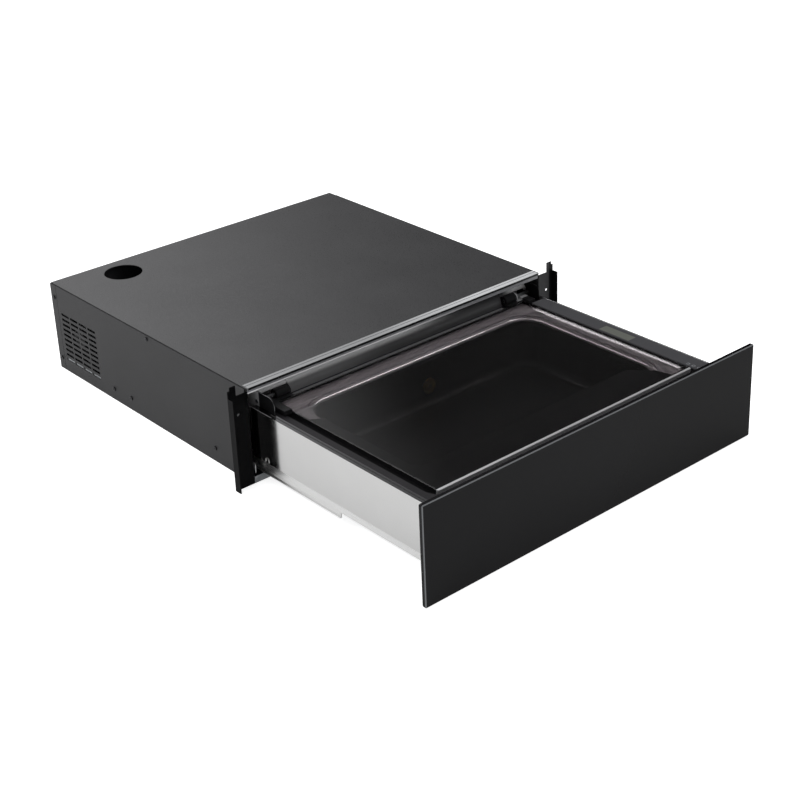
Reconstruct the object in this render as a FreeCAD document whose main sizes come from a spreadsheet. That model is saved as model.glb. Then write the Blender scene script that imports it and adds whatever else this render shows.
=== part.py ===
"""Built-in vacuum sealing drawer with its drawer pulled out and its glass lid shut.

Millimetres, +Z up, +Y to the rear. The origin is on the underside of the housing, at the
middle of its front edge. The front faces -Y.
"""
import FreeCAD, Part
import math
import os
import Sketcher

SIZES = {
    # Housing of folded sheet steel
    "housing_height": 141,
    "housing_sheet": 1.0,
    "base_sheet": 1.2,
    "front_lip_depth": 3,
    "front_lip_height": 10,
    "base_flange_height": 24,
    "cover_flange_height": 10,
    "cover_seam": 1.0,
    "wrap_depth": 15.4,
    "panel_seam": 0.6,
    "strip_depth": 12,
    "strip_thickness": 0.8,
    "strip_lip": 3.3,
    "strip_end_gap": 4,
    "crossbar_height": 7,
    "crossbar_depth": 18,
    "partition_gap": 33,
    "pump_room": 107,
    "cover_hole_radius": 29,
    "cover_hole_inset": 100.5,
    "cover_hole_rear_gap": 46.3,
    # Vent slots in the left side panel and in the rear panel
    "slot_length": 21.5,
    "slot_height": 4,
    "slot_pitch_along": 25,
    "slot_pitch_up": 8.3,
    "vent_rear_gap": 120.5,
    "vent_bottom": 19.5,
    # Brackets that screw to the front edge of the cabinet
    "bracket_width": 29.5,
    "bracket_top_gap": 4,
    "bracket_sheet": 1.5,
    "bracket_return": 10,
    "bracket_leg": 28,
    "bracket_tab_width": 12.5,
    "bracket_tab_height": 15,
    "bracket_hole_radius": 2.25,
    "bracket_hole_inset": 13.8,
    "bracket_hole_drop": 28,
    # Fasteners: how far back the side screws stand, how high, and how far in the rear ones are
    "screw_head_radius": 3.2,
    "screw_head_height": 1.4,
    "screw_radius": 1.5,
    "screw_hole_radius": 1.6,
    "screw_length": 6,
    "screw_top_back": 234,
    "screw_top_drop": 6.4,
    "screw_low_back": 342,
    "screw_middle_back": 295,
    "screw_front_back": 82.4,
    "screw_low_up": 18.2,
    "screw_middle_up": 19.4,
    "screw_front_up": 20.9,
    "wrap_screw_inset": 7.7,
    "wrap_screw_drop": 22,
    # Slides, one under each drawer side
    "drawer_travel": 360,
    "slide_start": 4,
    "slide_margin": 8,
    "slide_sheet": 1.4,
    "slide_play": 0.4,
    "fixed_rail_width": 18,
    "fixed_rail_height": 8.8,
    "middle_rail_width": 8.8,
    "middle_rail_height": 17.2,
    "moving_rail_width": 13,
    "moving_rail_height": 10,
    "moving_rail_bottom": 27,
    # Drawer
    "drawer_side_gap": 10,
    "drawer_top_gap": 31,
    "drawer_wall": 1.2,
    "drawer_back": 3,
    "drawer_floor_bottom": 16,
    "drawer_floor_inset": 17,
    "drawer_front_inset": 1.5,
    "lip_width": 9,
    "lip_return": 8,
    "back_cover_rise": 21,
    "back_cover_depth": 23.2,
    "back_cover_radius": 22,
    "back_cover_split": 60,
    # Glass front
    "front_width": 595,
    "front_overhang": 27.5,
    "front_thickness": 6,
    "front_bottom": 1,
    "front_corner": 2,
    "front_bevel": 1.2,
    "front_gap": 15,
    "carrier_inset": 1.4,
    "carrier_rise": 20,
    "cross_member_gap": 0.7,
    "cross_member_foot": 60,
    # Deck round the lid and the chamber below it
    "deck_drop": 4,
    "deck_sheet": 2,
    "deck_rim": 1.3,
    "deck_fold": 1.5,
    "well_corner_left": 25,
    "well_corner_right": 12,
    "lid_gap_left": 7.5,
    "lid_gap_right": 2,
    "lid_gap_front": 11,
    "flange_drop": 2.8,
    "chamber_margin": 24,
    "chamber_front_gap": 27,
    "chamber_back": 38,
    "chamber_floor": 23.2,
    "chamber_wall": 1.2,
    "chamber_corner": 35,
    "chamber_floor_radius": 12,
    "chamber_rim_radius": 3,
    "flange_back": 6,
    "seal_width": 10,
    "seal_height": 2.5,
    "seal_offset": 8,
    # Glass lid
    "lid_front_gap": 33,
    "lid_back": 10,
    "lid_drop": 11,
    "lid_thickness": 12,
    "grip_depth": 4,
    "grip_height": 6.2,
    "hinge_back": 2,
    "hinge_rise": 4,
    "hinge_gap": 3,
    "barrel_radius": 7,
    "barrel_inset": 30,
    "barrel_length": 23,
    "pin_radius": 3,
    "pin_play": 0.05,
    "cheek_width": 12,
    "cheek_left": 46,
    "cheek_right": 22,
    "cheek_clearance": 1,
    "plate_thickness": 1.5,
    "plate_left": 38,
    "plate_right": 21,
    "plate_back": 20,
    "plate_corner": 12,
    # Sealing bar and its counter bar under the lid
    "bar_end_gap": 45,
    "bar_width": 16,
    "bar_front_gap": 20,
    "bar_height": 24,
    "bar_lift": 6.5,
    "bar_stop_gap": 0.3,
    "band_width": 8,
    "band_thickness": 1.2,
    "counter_height": 9,
    "counter_width": 18,
    "lift_radius": 7.5,
    "lift_height": 25,
    "rod_radius": 4,
    "rod_end": 30,
    # Control strip
    "control_width": 26.5,
    "control_back": 24,
    "control_glass_thickness": 1.8,
    "control_box_depth": 20,
    "control_box_wall": 1.5,
    "display_width": 15.5,
    "display_length": 56,
    "display_inset": 2.7,
    "display_front_gap": 171,
    "display_play": 0.2,
    "display_face_drop": 0.1,
    "board_thickness": 1.6,
    "control_board_width": 22,
    "post_radius": 3,
    "post_height": 8.5,
    # Vacuum path
    "hose_radius": 4,
    "hose_bend": 16,
    "hose_across": 14,
    "hose_up": 50,
    "chain_pitch_across": 36,
    "chain_width": 10,
    "chain_height": 12,
    "chain_bottom": 2.2,
    "chain_turn_back": 24,
    # Pump set in the rear of the housing
    "axis_gap": 52,
    "axis_up": 66,
    "pump_left": 68,
    "pump_length": 100,
    "pump_top_gap": 15,
    "pump_feet_height": 14.8,
    "pump_feet_radius": 11,
    "cavity_radius": 29,
    "cavity_offset": 5.5,
    "rotor_radius": 23,
    "shaft_radius": 7,
    "shaft_play": 0.05,
    "motor_radius": 48,
    "motor_length": 128,
    "motor_bore": 31,
    "motor_end": 12,
    "cowl_length": 22,
    "cowl_wall": 2,
    "motor_fan_radius": 42,
    "filter_radius": 24,
    "filter_length": 88,
    "valve_width": 36,
    "valve_height": 30,
    # Cooling fan behind the vent slots
    "fan_size": 80,
    "fan_thickness": 25,
    "fan_up": 65,
    "fan_rear_gap": 62,
    "fan_bore": 37,
    "fan_hub": 15,
    "fan_tip_gap": 1.5,
    # Electronics and power inlet
    "power_board_inset": 140,
    "power_board_width": 120,
    "power_board_depth": 65,
    "power_board_gap": 7,
    "standoff_height": 10.8,
    "inlet_inset": 65,
    "inlet_up": 62,
    # Push latch
    "latch_inset": 110,
    "latch_drop": 10,
    "latch_radius": 4,
    "latch_gap": 0.4,
    "latch_travel": 4,
}

doc = FreeCAD.newDocument("vacuum_sealing_drawer")
sheet = doc.addObject("Spreadsheet::Sheet", "dims")


class Size:
    """A length with its value and the formula that binds it to the sheet."""

    def __init__(self, value, text):
        self.value = float(value)
        self.text = text

    def __float__(self):
        return self.value

    def __neg__(self):
        return Size(-self.value, f"(0 - {self.text})")

    def __add__(self, other):
        other = size_of(other)
        return Size(self.value + other.value, f"({self.text} + {other.text})")

    def __sub__(self, other):
        other = size_of(other)
        return Size(self.value - other.value, f"({self.text} - {other.text})")

    def __mul__(self, other):
        other = size_of(other)
        return Size(self.value * other.value, f"({self.text} * {other.text})")

    def __truediv__(self, other):
        other = size_of(other)
        return Size(self.value / other.value, f"({self.text} / {other.text})")

    def __radd__(self, other):
        return size_of(other) + self

    def __rsub__(self, other):
        return size_of(other) - self

    def __rmul__(self, other):
        return size_of(other) * self


def size_of(number):
    """A plain number as a Size, or the Size itself."""
    return number if isinstance(number, Size) else Size(number, f"({float(number)})")


class Dimensions:
    """Each cell of the sheet as an attribute."""


d = Dimensions()
for row, (alias, number) in enumerate(SIZES.items(), start=1):
    sheet.set(f"A{row}", alias.replace("_", " "))
    sheet.set(f"B{row}", str(number))
    sheet.setAlias(f"B{row}", alias)
    setattr(d, alias, Size(number, f"dims.{alias}"))
doc.recompute()

# Widths follow from the glass front
d.housing_width = d.front_width - d.front_overhang * 2
d.drawer_half_width = d.housing_width / 2 - d.drawer_side_gap
d.drawer_floor_half_width = d.drawer_half_width - d.drawer_floor_inset
d.carrier_half_width = d.drawer_half_width - d.carrier_inset
d.control_inner = d.drawer_half_width - d.drawer_wall - d.control_width
d.well_right = d.control_inner - d.deck_rim
d.lid_half_width = d.well_right - d.lid_gap_right
d.well_left = d.lid_half_width + d.lid_gap_left
d.chamber_half_width = d.lid_half_width - d.chamber_margin
d.bar_half_length = d.chamber_half_width - d.bar_end_gap
d.lift_spacing = d.bar_half_length * 1.375
d.barrel_inner = d.lid_half_width - d.barrel_inset
d.barrel_outer = d.barrel_inner + d.barrel_length
d.cheek_outer = d.lid_half_width + d.cheek_width
d.hinge_gap_inner = d.barrel_inner - d.hinge_gap
d.hinge_gap_outer = d.cheek_outer + d.hinge_gap
d.display_inner = d.control_inner + d.display_inset
d.inlet_across = d.housing_width / 2 - d.inlet_inset
d.latch_across = d.housing_width / 2 - d.latch_inset
d.power_board_left = d.housing_width / 2 - d.power_board_inset
d.cover_hole_across = d.housing_width / 2 - d.cover_hole_inset

# Depths follow from the drawer's travel
d.slide_length = d.drawer_travel + d.slide_margin
d.partition_back = d.drawer_travel + d.partition_gap
d.housing_depth = d.partition_back + d.pump_room
d.axis_back = d.partition_back + d.axis_gap
d.power_board_front = d.partition_back + d.power_board_gap
d.cover_hole_back = d.housing_depth - d.cover_hole_rear_gap
d.fan_back = d.housing_depth - d.fan_rear_gap
d.vent_start = d.housing_depth - d.vent_rear_gap
d.lid_front = d.drawer_travel - d.lid_front_gap
d.well_front = d.lid_front + d.lid_gap_front
d.chamber_front = d.lid_front - d.chamber_front_gap
d.bar_middle = d.chamber_front - d.bar_front_gap
d.display_back = d.lid_front - d.display_front_gap

# Heights follow from the housing
d.front_height = d.housing_height - d.front_bottom * 2
d.bracket_height = d.housing_height - d.bracket_top_gap
d.bracket_hole_up = d.bracket_height - d.bracket_hole_drop
d.drawer_top = d.housing_height - d.drawer_top_gap
d.carrier_top = d.drawer_top + d.carrier_rise
d.back_cover_top = d.drawer_top + d.back_cover_rise
d.deck_top = d.drawer_top - d.deck_drop
d.lid_bottom = d.drawer_top - d.lid_drop
d.flange_top = d.lid_bottom - d.flange_drop
d.hinge_up = d.lid_bottom + d.lid_thickness + d.hinge_rise
d.counter_bottom = d.lid_bottom - d.counter_height
d.bar_top = d.counter_bottom - d.bar_stop_gap - d.bar_lift - d.band_thickness
d.bar_bottom = d.bar_top - d.bar_height
d.pump_height = d.housing_height - d.pump_top_gap - d.pump_feet_height - d.base_sheet
d.latch_up = d.drawer_top - d.latch_drop

nodes = []


def bind(obj, prop, size):
    """Ties a property to the sheet."""
    obj.setExpression(prop, size_of(size).text)


def keep(obj, label):
    """Names a finished sub-part and lists it for export."""
    obj.Label = label
    nodes.append(obj)
    return obj


def box(name, x, y, z):
    """A block between two limits along each axis."""
    block = doc.addObject("Part::Box", name)
    for prop, (low, high) in (("Length", x), ("Width", y), ("Height", z)):
        bind(block, prop, size_of(high) - low)
    for axis, (low, high) in (("x", x), ("y", y), ("z", z)):
        bind(block, f"Placement.Base.{axis}", low)
    return block


def rod(name, axis, centre, radius, low, high):
    """A cylinder along x, y or z; centre gives the two other coordinates in that order."""
    turns = {"x": (0, 90, 0), "y": (0, 0, -90), "z": (0, 0, 0)}
    cylinder = doc.addObject("Part::Cylinder", name)
    bind(cylinder, "Radius", radius)
    bind(cylinder, "Height", size_of(high) - low)
    cylinder.Placement.Rotation = FreeCAD.Rotation(*turns[axis])
    others = [letter for letter in "xyz" if letter != axis]
    bind(cylinder, f"Placement.Base.{axis}", low)
    bind(cylinder, f"Placement.Base.{others[0]}", centre[0])
    bind(cylinder, f"Placement.Base.{others[1]}", centre[1])
    return cylinder


def cut(name, base, *tools):
    """The base without the tools."""
    for number, tool in enumerate(tools):
        result = doc.addObject("Part::Cut", f"{name}_cut{number}")
        result.Base = base
        result.Tool = tool
        base = result
    return base


def fuse(name, *pieces):
    """The pieces joined into one solid."""
    result = doc.addObject("Part::MultiFuse", f"{name}_fuse")
    result.Shapes = list(pieces)
    result.Refine = True
    return result


def group(name, pieces):
    """Separate solids that share one node."""
    result = doc.addObject("Part::Compound", f"{name}_group")
    result.Links = list(pieces)
    return result


def across(side, low, high):
    """Limits along x on the right (side 1) or mirrored to the left (side -1)."""
    return (size_of(low), size_of(high)) if side > 0 else (-size_of(high), -size_of(low))


def sketch_on(body, role, height):
    """A sketch parallel to one of the body's origin planes."""
    sketch = body.newObject("Sketcher::SketchObject", f"{body.Name}_sketch")
    plane = next(f for f in body.Origin.OriginFeatures if f.Role == role)
    sketch.AttachmentSupport = [(plane, "")]
    sketch.MapMode = "FlatFace"
    bind(sketch, "AttachmentOffset.Base.z", height)
    return sketch


def draw_rounded(sketch, points, radius):
    """A rectangle with rounded corners, held to the sheet; points are its corners."""
    (x0, y0), (x1, y1) = [[size_of(value) for value in points[i]] for i in (0, 2)]
    radius = size_of(radius)
    left, right = x0.value + radius.value, x1.value - radius.value
    low, high = y0.value + radius.value, y1.value - radius.value
    runs = [
        ((left, y0.value), (right, y0.value)),
        ((x1.value, low), (x1.value, high)),
        ((right, y1.value), (left, y1.value)),
        ((x0.value, high), (x0.value, low)),
    ]
    centres = [(right, low), (right, high), (left, high), (left, low)]
    normal = FreeCAD.Vector(0, 0, 1)
    for i, ((a, b), centre) in enumerate(zip(runs, centres)):
        sketch.addGeometry(Part.LineSegment(FreeCAD.Vector(*a, 0), FreeCAD.Vector(*b, 0)), False)
        circle = Part.Circle(FreeCAD.Vector(*centre, 0), normal, radius.value)
        turn = math.pi / 2
        sketch.addGeometry(Part.ArcOfCircle(circle, (i - 1) * turn, i * turn), False)
    for i in range(4):
        line, arc, following = 2 * i, 2 * i + 1, (2 * i + 2) % 8
        sketch.addConstraint(Sketcher.Constraint("Tangent", line, 2, arc, 1))
        sketch.addConstraint(Sketcher.Constraint("Tangent", arc, 2, following, 1))
        sketch.addConstraint(Sketcher.Constraint("Vertical" if i % 2 else "Horizontal", line))
        index = sketch.addConstraint(Sketcher.Constraint("Radius", arc, radius.value))
        bind(sketch, f"Constraints[{index}]", radius)
    for kind, line, where in (("DistanceY", 0, y0), ("DistanceX", 2, x1),
                              ("DistanceY", 4, y1), ("DistanceX", 6, x0)):
        index = sketch.addConstraint(Sketcher.Constraint(kind, -1, 1, line, 1, where.value))
        bind(sketch, f"Constraints[{index}]", where)


def draw(sketch, points, corner=None):
    """A closed outline through points, each held to the sheet."""
    if corner is not None:
        draw_rounded(sketch, points, corner)
        return
    start = sketch.GeometryCount
    corners = [FreeCAD.Vector(float(u), float(v), 0) for u, v in points]
    count = len(corners)
    for i in range(count):
        sketch.addGeometry(Part.LineSegment(corners[i], corners[(i + 1) % count]), False)
    for i in range(count):
        sketch.addConstraint(
            Sketcher.Constraint("Coincident", start + i, 2, start + (i + 1) % count, 1)
        )
    for i, point in enumerate(points):
        for kind, where in zip(("DistanceX", "DistanceY"), point):
            where = size_of(where)
            index = sketch.addConstraint(
                Sketcher.Constraint(kind, -1, 1, start + i, 1, where.value)
            )
            bind(sketch, f"Constraints[{index}]", where)


def prism(name, role, points, low, high, corner=None):
    """A body padded from an outline, along z, y or x for the XY, XZ or YZ plane."""
    body = doc.addObject("PartDesign::Body", name)
    low, high = size_of(low), size_of(high)
    sketch = sketch_on(body, role, -high if role == "XZ_Plane" else low)
    draw(sketch, points, corner)
    pad = body.newObject("PartDesign::Pad", f"{name}_pad")
    pad.Profile = sketch
    bind(pad, "Length", high - low)
    doc.recompute()
    return body


def rectangle(x, y):
    """The four corners of a rectangle."""
    return [(x[0], y[0]), (x[1], y[0]), (x[1], y[1]), (x[0], y[1])]


def add_pad(body, points, low, high):
    """Pads one more outline onto a body, upwards."""
    sketch = sketch_on(body, "XY_Plane", low)
    draw(sketch, points)
    pad = body.newObject("PartDesign::Pad", f"{body.Name}_pad")
    pad.Profile = sketch
    bind(pad, "Length", size_of(high) - low)
    doc.recompute()


def add_pocket(body, points, top, depth, corner=None):
    """Cuts an outline down into a body from a height."""
    before = body.Shape.Volume
    sketch = sketch_on(body, "XY_Plane", top)
    draw(sketch, points, corner)
    pocket = body.newObject("PartDesign::Pocket", f"{body.Name}_pocket")
    pocket.Profile = sketch
    bind(pocket, "Length", depth)
    doc.recompute()
    if body.Shape.Volume >= before:
        raise RuntimeError(f"{body.Name}: the pocket cut nothing")


def round_edges(body, radius, chosen, kind="PartDesign::Fillet"):
    """Fillets or chamfers the edges for which chosen(edge) is true."""
    tip = body.Tip
    names = [f"Edge{i}" for i, edge in enumerate(tip.Shape.Edges, start=1) if chosen(edge)]
    if not names:
        raise RuntimeError(f"{body.Name}: no edge to round")
    feature = body.newObject(kind, f"{body.Name}_round")
    feature.Base = (tip, names)
    bind(feature, "Radius" if kind.endswith("Fillet") else "Size", radius)
    doc.recompute()


def upright(edge):
    """A straight edge along z."""
    a, b = edge.Vertexes[0].Point, edge.Vertexes[-1].Point
    return abs(a.x - b.x) < 1e-6 and abs(a.y - b.y) < 1e-6 and abs(a.z - b.z) > 1e-6


def level(edge, height):
    """An edge that lies at one height."""
    limits = edge.BoundBox
    return abs(limits.ZMin - float(height)) < 1e-4 and abs(limits.ZMax - float(height)) < 1e-4


def near(a, b):
    """Two lengths that are the same."""
    return abs(float(a) - float(b)) < 1e-4


# Planes that several sub-parts share
side_face = d.housing_width / 2
side_inner = side_face - d.housing_sheet
rear_face = d.housing_depth
rear_inner = rear_face - d.housing_sheet
cover_under = d.housing_height - d.housing_sheet
cover_edge = side_inner - d.cover_seam
front_lip = -d.front_lip_depth
bracket_front = front_lip
bracket_rear = bracket_front + d.bracket_sheet
slide_outer = d.drawer_half_width
slide_middle = slide_outer - d.moving_rail_width / 2
slide_end = d.slide_start + d.slide_length
front_back_face = -(d.drawer_travel + d.front_gap)
front_face = front_back_face - d.front_thickness
drawer_front = front_back_face + d.drawer_front_inset
moving_rail_top = d.moving_rail_bottom + d.moving_rail_height
floor_top = d.drawer_floor_bottom + d.drawer_wall
back_cover_back = d.drawer_back + d.back_cover_depth
flange_bottom = d.flange_top - d.chamber_wall
lid_top = d.lid_bottom + d.lid_thickness
hinge_side = d.drawer_half_width - d.lip_width - d.plate_thickness / 3
back_cover_half = hinge_side - d.plate_thickness
bar_top = d.bar_top
pump_bottom = d.base_sheet + d.pump_feet_height
pump_right = d.pump_length - d.pump_left
motor_right = -d.pump_left
motor_left = motor_right - d.motor_length


def build_base_pan():
    """Flat steel pan with two screwed side flanges and a low front lip."""
    inner = side_inner - d.base_sheet
    plate = box("base_plate", (-side_inner, side_inner), (0, rear_inner), (0, d.base_sheet))
    tongue_half = side_inner - d.bracket_sheet - d.panel_seam
    tongue = box("base_tongue", (-tongue_half, tongue_half), (front_lip, 0), (0, d.base_sheet))
    lip = box(
        "base_lip",
        (-tongue_half, tongue_half),
        (front_lip, front_lip + d.base_sheet),
        (0, d.front_lip_height),
    )
    sides = [
        box(f"base_side{side}", across(side, inner, side_inner), (0, rear_inner),
            (0, d.base_flange_height))
        for side in (-1, 1)
    ]
    keep(cut("base_pan", fuse("base_pan", plate, tongue, lip, *sides), *screw_holes()), "base_pan")


# Screws: (distance back, height) on each side panel, then on each wrap of the rear panel
PANEL_SCREWS = [
    (d.screw_top_back, d.housing_height - d.screw_top_drop),
    (d.screw_low_back, d.screw_low_up),
    (d.screw_middle_back, d.screw_middle_up),
    (d.screw_front_back, d.screw_front_up),
]
WRAP_SCREWS = [
    (rear_face - d.wrap_screw_inset, d.housing_height - d.wrap_screw_drop),
    (rear_face - d.wrap_screw_inset, d.screw_low_up),
]


def screw_holes():
    """Clearance holes for every housing screw, as tools."""
    tools = []
    for side in (-1, 1):
        for back, up in PANEL_SCREWS + WRAP_SCREWS:
            low, high = across(side, side_inner - 4, side_face + 1)
            tools.append(rod("screw_hole", "x", (back, up), d.screw_hole_radius, low, high))
    return [group("screw_hole", tools)]


def build_screws():
    """Pan-head screws with a cross recess, one node of separate solids."""
    screws = []
    recess_reach = d.screw_head_radius * 0.55
    for side in (-1, 1):
        head = across(side, side_face, side_face + d.screw_head_height)
        shank = across(side, side_face - d.screw_length, side_face)
        recess = across(side, side_face + d.screw_head_height / 2, side_face + 2)
        for back, up in PANEL_SCREWS + WRAP_SCREWS:
            blank = fuse(
                "screw",
                rod("screw_head", "x", (back, up), d.screw_head_radius, *head),
                rod("screw_shank", "x", (back, up), d.screw_radius, *shank),
            )
            upright_slot = box("recess_a", recess, (back - 0.35, back + 0.35),
                               (up - recess_reach, up + recess_reach))
            level_slot = box("recess_b", recess, (back - recess_reach, back + recess_reach),
                             (up - 0.35, up + 0.35))
            screws.append(cut("screw", blank, upright_slot, level_slot))
    keep(group("housing_screws", screws), "housing_screws")


def slot_array(name, axis, across_limits, start, bottom, columns, rows):
    """A grid of level slots through a panel, as one tool."""
    slots = []
    for column in range(columns):
        along = start + d.slot_pitch_along * column
        limits = (along, along + d.slot_length)
        for line in range(rows):
            up = bottom + d.slot_pitch_up * line
            spans = (across_limits, limits) if axis == "x" else (limits, across_limits)
            slots.append(box(name, spans[0], spans[1], (up, up + d.slot_height)))
    return group(name, slots)


def build_side_panels():
    """Side sheets with an offset rear tab under the wrap of the rear panel."""
    panel_back = rear_face - d.wrap_depth - d.panel_seam
    for side, label in ((-1, "side_panel_left"), (1, "side_panel_right")):
        skin = box(f"{label}_skin", across(side, side_inner, side_face), (0, panel_back),
                   (0, cover_under + 0.4))
        tab = box(f"{label}_tab", across(side, side_inner - d.housing_sheet, side_inner),
                  (panel_back - 4, rear_inner - 1),
                  (d.base_flange_height + 2, cover_under - d.cover_flange_height - 2))
        tools = screw_holes()
        if side < 0:
            limits = across(side, side_inner - 0.5, side_face + 1)
            tools.append(slot_array("vent_slot", "x", limits, d.vent_start, d.vent_bottom, 4, 10))
        keep(cut(label, fuse(label, skin, tab), *tools), label)


def build_rear_panel():
    """Rear sheet that wraps round both rear edges, with intake slots and the inlet cut-out."""
    plate = box("rear_plate", (-side_face, side_face), (rear_inner, rear_face), (0, cover_under))
    wraps = [
        box(f"rear_wrap{side}", across(side, side_inner, side_face),
            (rear_face - d.wrap_depth, rear_face), (0, cover_under))
        for side in (-1, 1)
    ]
    slots = slot_array("intake_slot", "y", (rear_inner - 1, rear_face + 1),
                       -(side_face - 22), d.vent_bottom + 8, 4, 9)
    opening = box("inlet_cutout", (d.inlet_across - 13.8, d.inlet_across + 13.8),
                  (rear_inner - 1, rear_face + 1), (d.inlet_up - 10.2, d.inlet_up + 10.2))
    keep(cut("rear_panel", fuse("rear_panel", plate, *wraps), slots, opening, *screw_holes()),
         "rear_panel")


def build_top_cover():
    """Top sheet with side flanges inside the side panels and a round service hole."""
    plate = box("cover_plate", (-cover_edge, cover_edge), (front_lip, rear_face),
                (cover_under, d.housing_height))
    flanges = [
        box(f"cover_flange{side}", across(side, cover_edge - d.housing_sheet, cover_edge),
            (0, rear_inner - 1), (cover_under - d.cover_flange_height, cover_under))
        for side in (-1, 1)
    ]
    hole = rod("cover_hole", "z", (-d.cover_hole_across, d.cover_hole_back), d.cover_hole_radius,
               cover_under - 1, d.housing_height + 1)
    keep(cut("top_cover", fuse("top_cover", plate, *flanges), hole, *screw_holes()), "top_cover")


def build_front_trim():
    """Bright strip along the cover's front edge, and the crossbar under it."""
    half = side_face - d.strip_end_gap
    top = d.housing_height + d.strip_thickness
    front = front_lip - d.strip_thickness
    outline = [
        (front, top),
        (front, top - d.strip_lip),
        (front_lip, top - d.strip_lip),
        (front_lip, d.housing_height),
        (front_lip + d.strip_depth, d.housing_height),
        (front_lip + d.strip_depth, top),
        (front_lip + d.strip_depth * 0.6, top),
        (front_lip + d.strip_depth * 0.6, top - d.strip_thickness / 2),
        (front_lip + d.strip_depth * 0.4, top - d.strip_thickness / 2),
        (front_lip + d.strip_depth * 0.4, top),
    ]
    keep(prism("front_trim_strip", "YZ_Plane", outline, -half, half), "front_trim_strip")
    web = front_lip + d.bracket_sheet / 3
    low = cover_under - d.crossbar_height
    thick = d.base_sheet
    channel = [
        (web, low),
        (web + d.crossbar_depth / 2, low),
        (web + d.crossbar_depth / 2, low + thick),
        (web + thick, low + thick),
        (web + thick, cover_under - thick),
        (web + d.crossbar_depth, cover_under - thick),
        (web + d.crossbar_depth, cover_under),
        (web, cover_under),
    ]
    keep(prism("top_crossbar", "YZ_Plane", channel, -(cover_edge - 2), cover_edge - 2),
         "top_crossbar")


def build_brackets():
    """Angle brackets with a flange for the cabinet edge, a forward return and a top tab."""
    for side, label in ((-1, "bracket_left"), (1, "bracket_right")):
        inner = side_inner - d.bracket_sheet
        outer = side_inner - d.bracket_sheet + d.bracket_width + d.bracket_sheet / 3
        flange = box(f"{label}_flange", across(side, inner, outer), (bracket_front, bracket_rear),
                     (0, d.bracket_height))
        forward = box(f"{label}_return", across(side, outer - d.bracket_sheet, outer),
                      (bracket_front - d.bracket_return, bracket_front), (0, d.bracket_height))
        leg = box(f"{label}_leg", across(side, inner, side_inner),
                  (bracket_rear, bracket_front + d.bracket_leg),
                  (d.base_flange_height + 2, cover_under - d.cover_flange_height - 2))
        tab = box(f"{label}_tab", across(side, outer - d.bracket_tab_width, outer),
                  (bracket_front, bracket_rear),
                  (d.bracket_height, d.bracket_height + d.bracket_tab_height))
        notch = box(f"{label}_notch", across(side, outer - 3.5, outer + 1),
                    (bracket_front - 1, bracket_rear + 1),
                    (d.bracket_height + d.bracket_tab_height - 5,
                     d.bracket_height + d.bracket_tab_height + 1))
        where = (side_face + d.bracket_hole_inset) * side
        hole = rod(f"{label}_hole", "y", (where, d.bracket_hole_up), d.bracket_hole_radius,
                   bracket_front - 1, bracket_rear + 1)
        keep(cut(label, fuse(label, flange, forward, leg, tab), notch, hole), label)


def build_partition():
    """Bulkhead between the drawer's bay and the pump compartment."""
    half = cover_edge - d.housing_sheet - 0.5
    back = d.partition_back + d.housing_sheet
    wall = box("partition_wall", (-half, half), (d.partition_back, back),
               (d.base_sheet, cover_under))
    foot = box("partition_foot", (-half + 40, half - 40), (back, back + 9),
               (d.base_sheet, d.base_sheet + d.housing_sheet))
    foot_gap = box("partition_foot_gap", (-(d.pump_left + 6), pump_right + 48),
                   (back, back + 20), (d.base_sheet, d.base_sheet + 4))
    hose_hole = rod("partition_hose_hole", "y",
                    (d.hose_across + d.chain_pitch_across, d.chain_bottom + d.chain_height / 2),
                    d.hose_radius + 1, d.partition_back - 1, back + 1)
    latch_hole = rod("partition_latch_hole", "y", (d.latch_across, d.latch_up),
                     d.latch_radius + 0.8, d.partition_back - 1, back + 1)
    blank = fuse("partition", wall, cut("partition_foot", foot, foot_gap))
    keep(cut("partition", blank, hose_hole, latch_hole), "partition")


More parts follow.
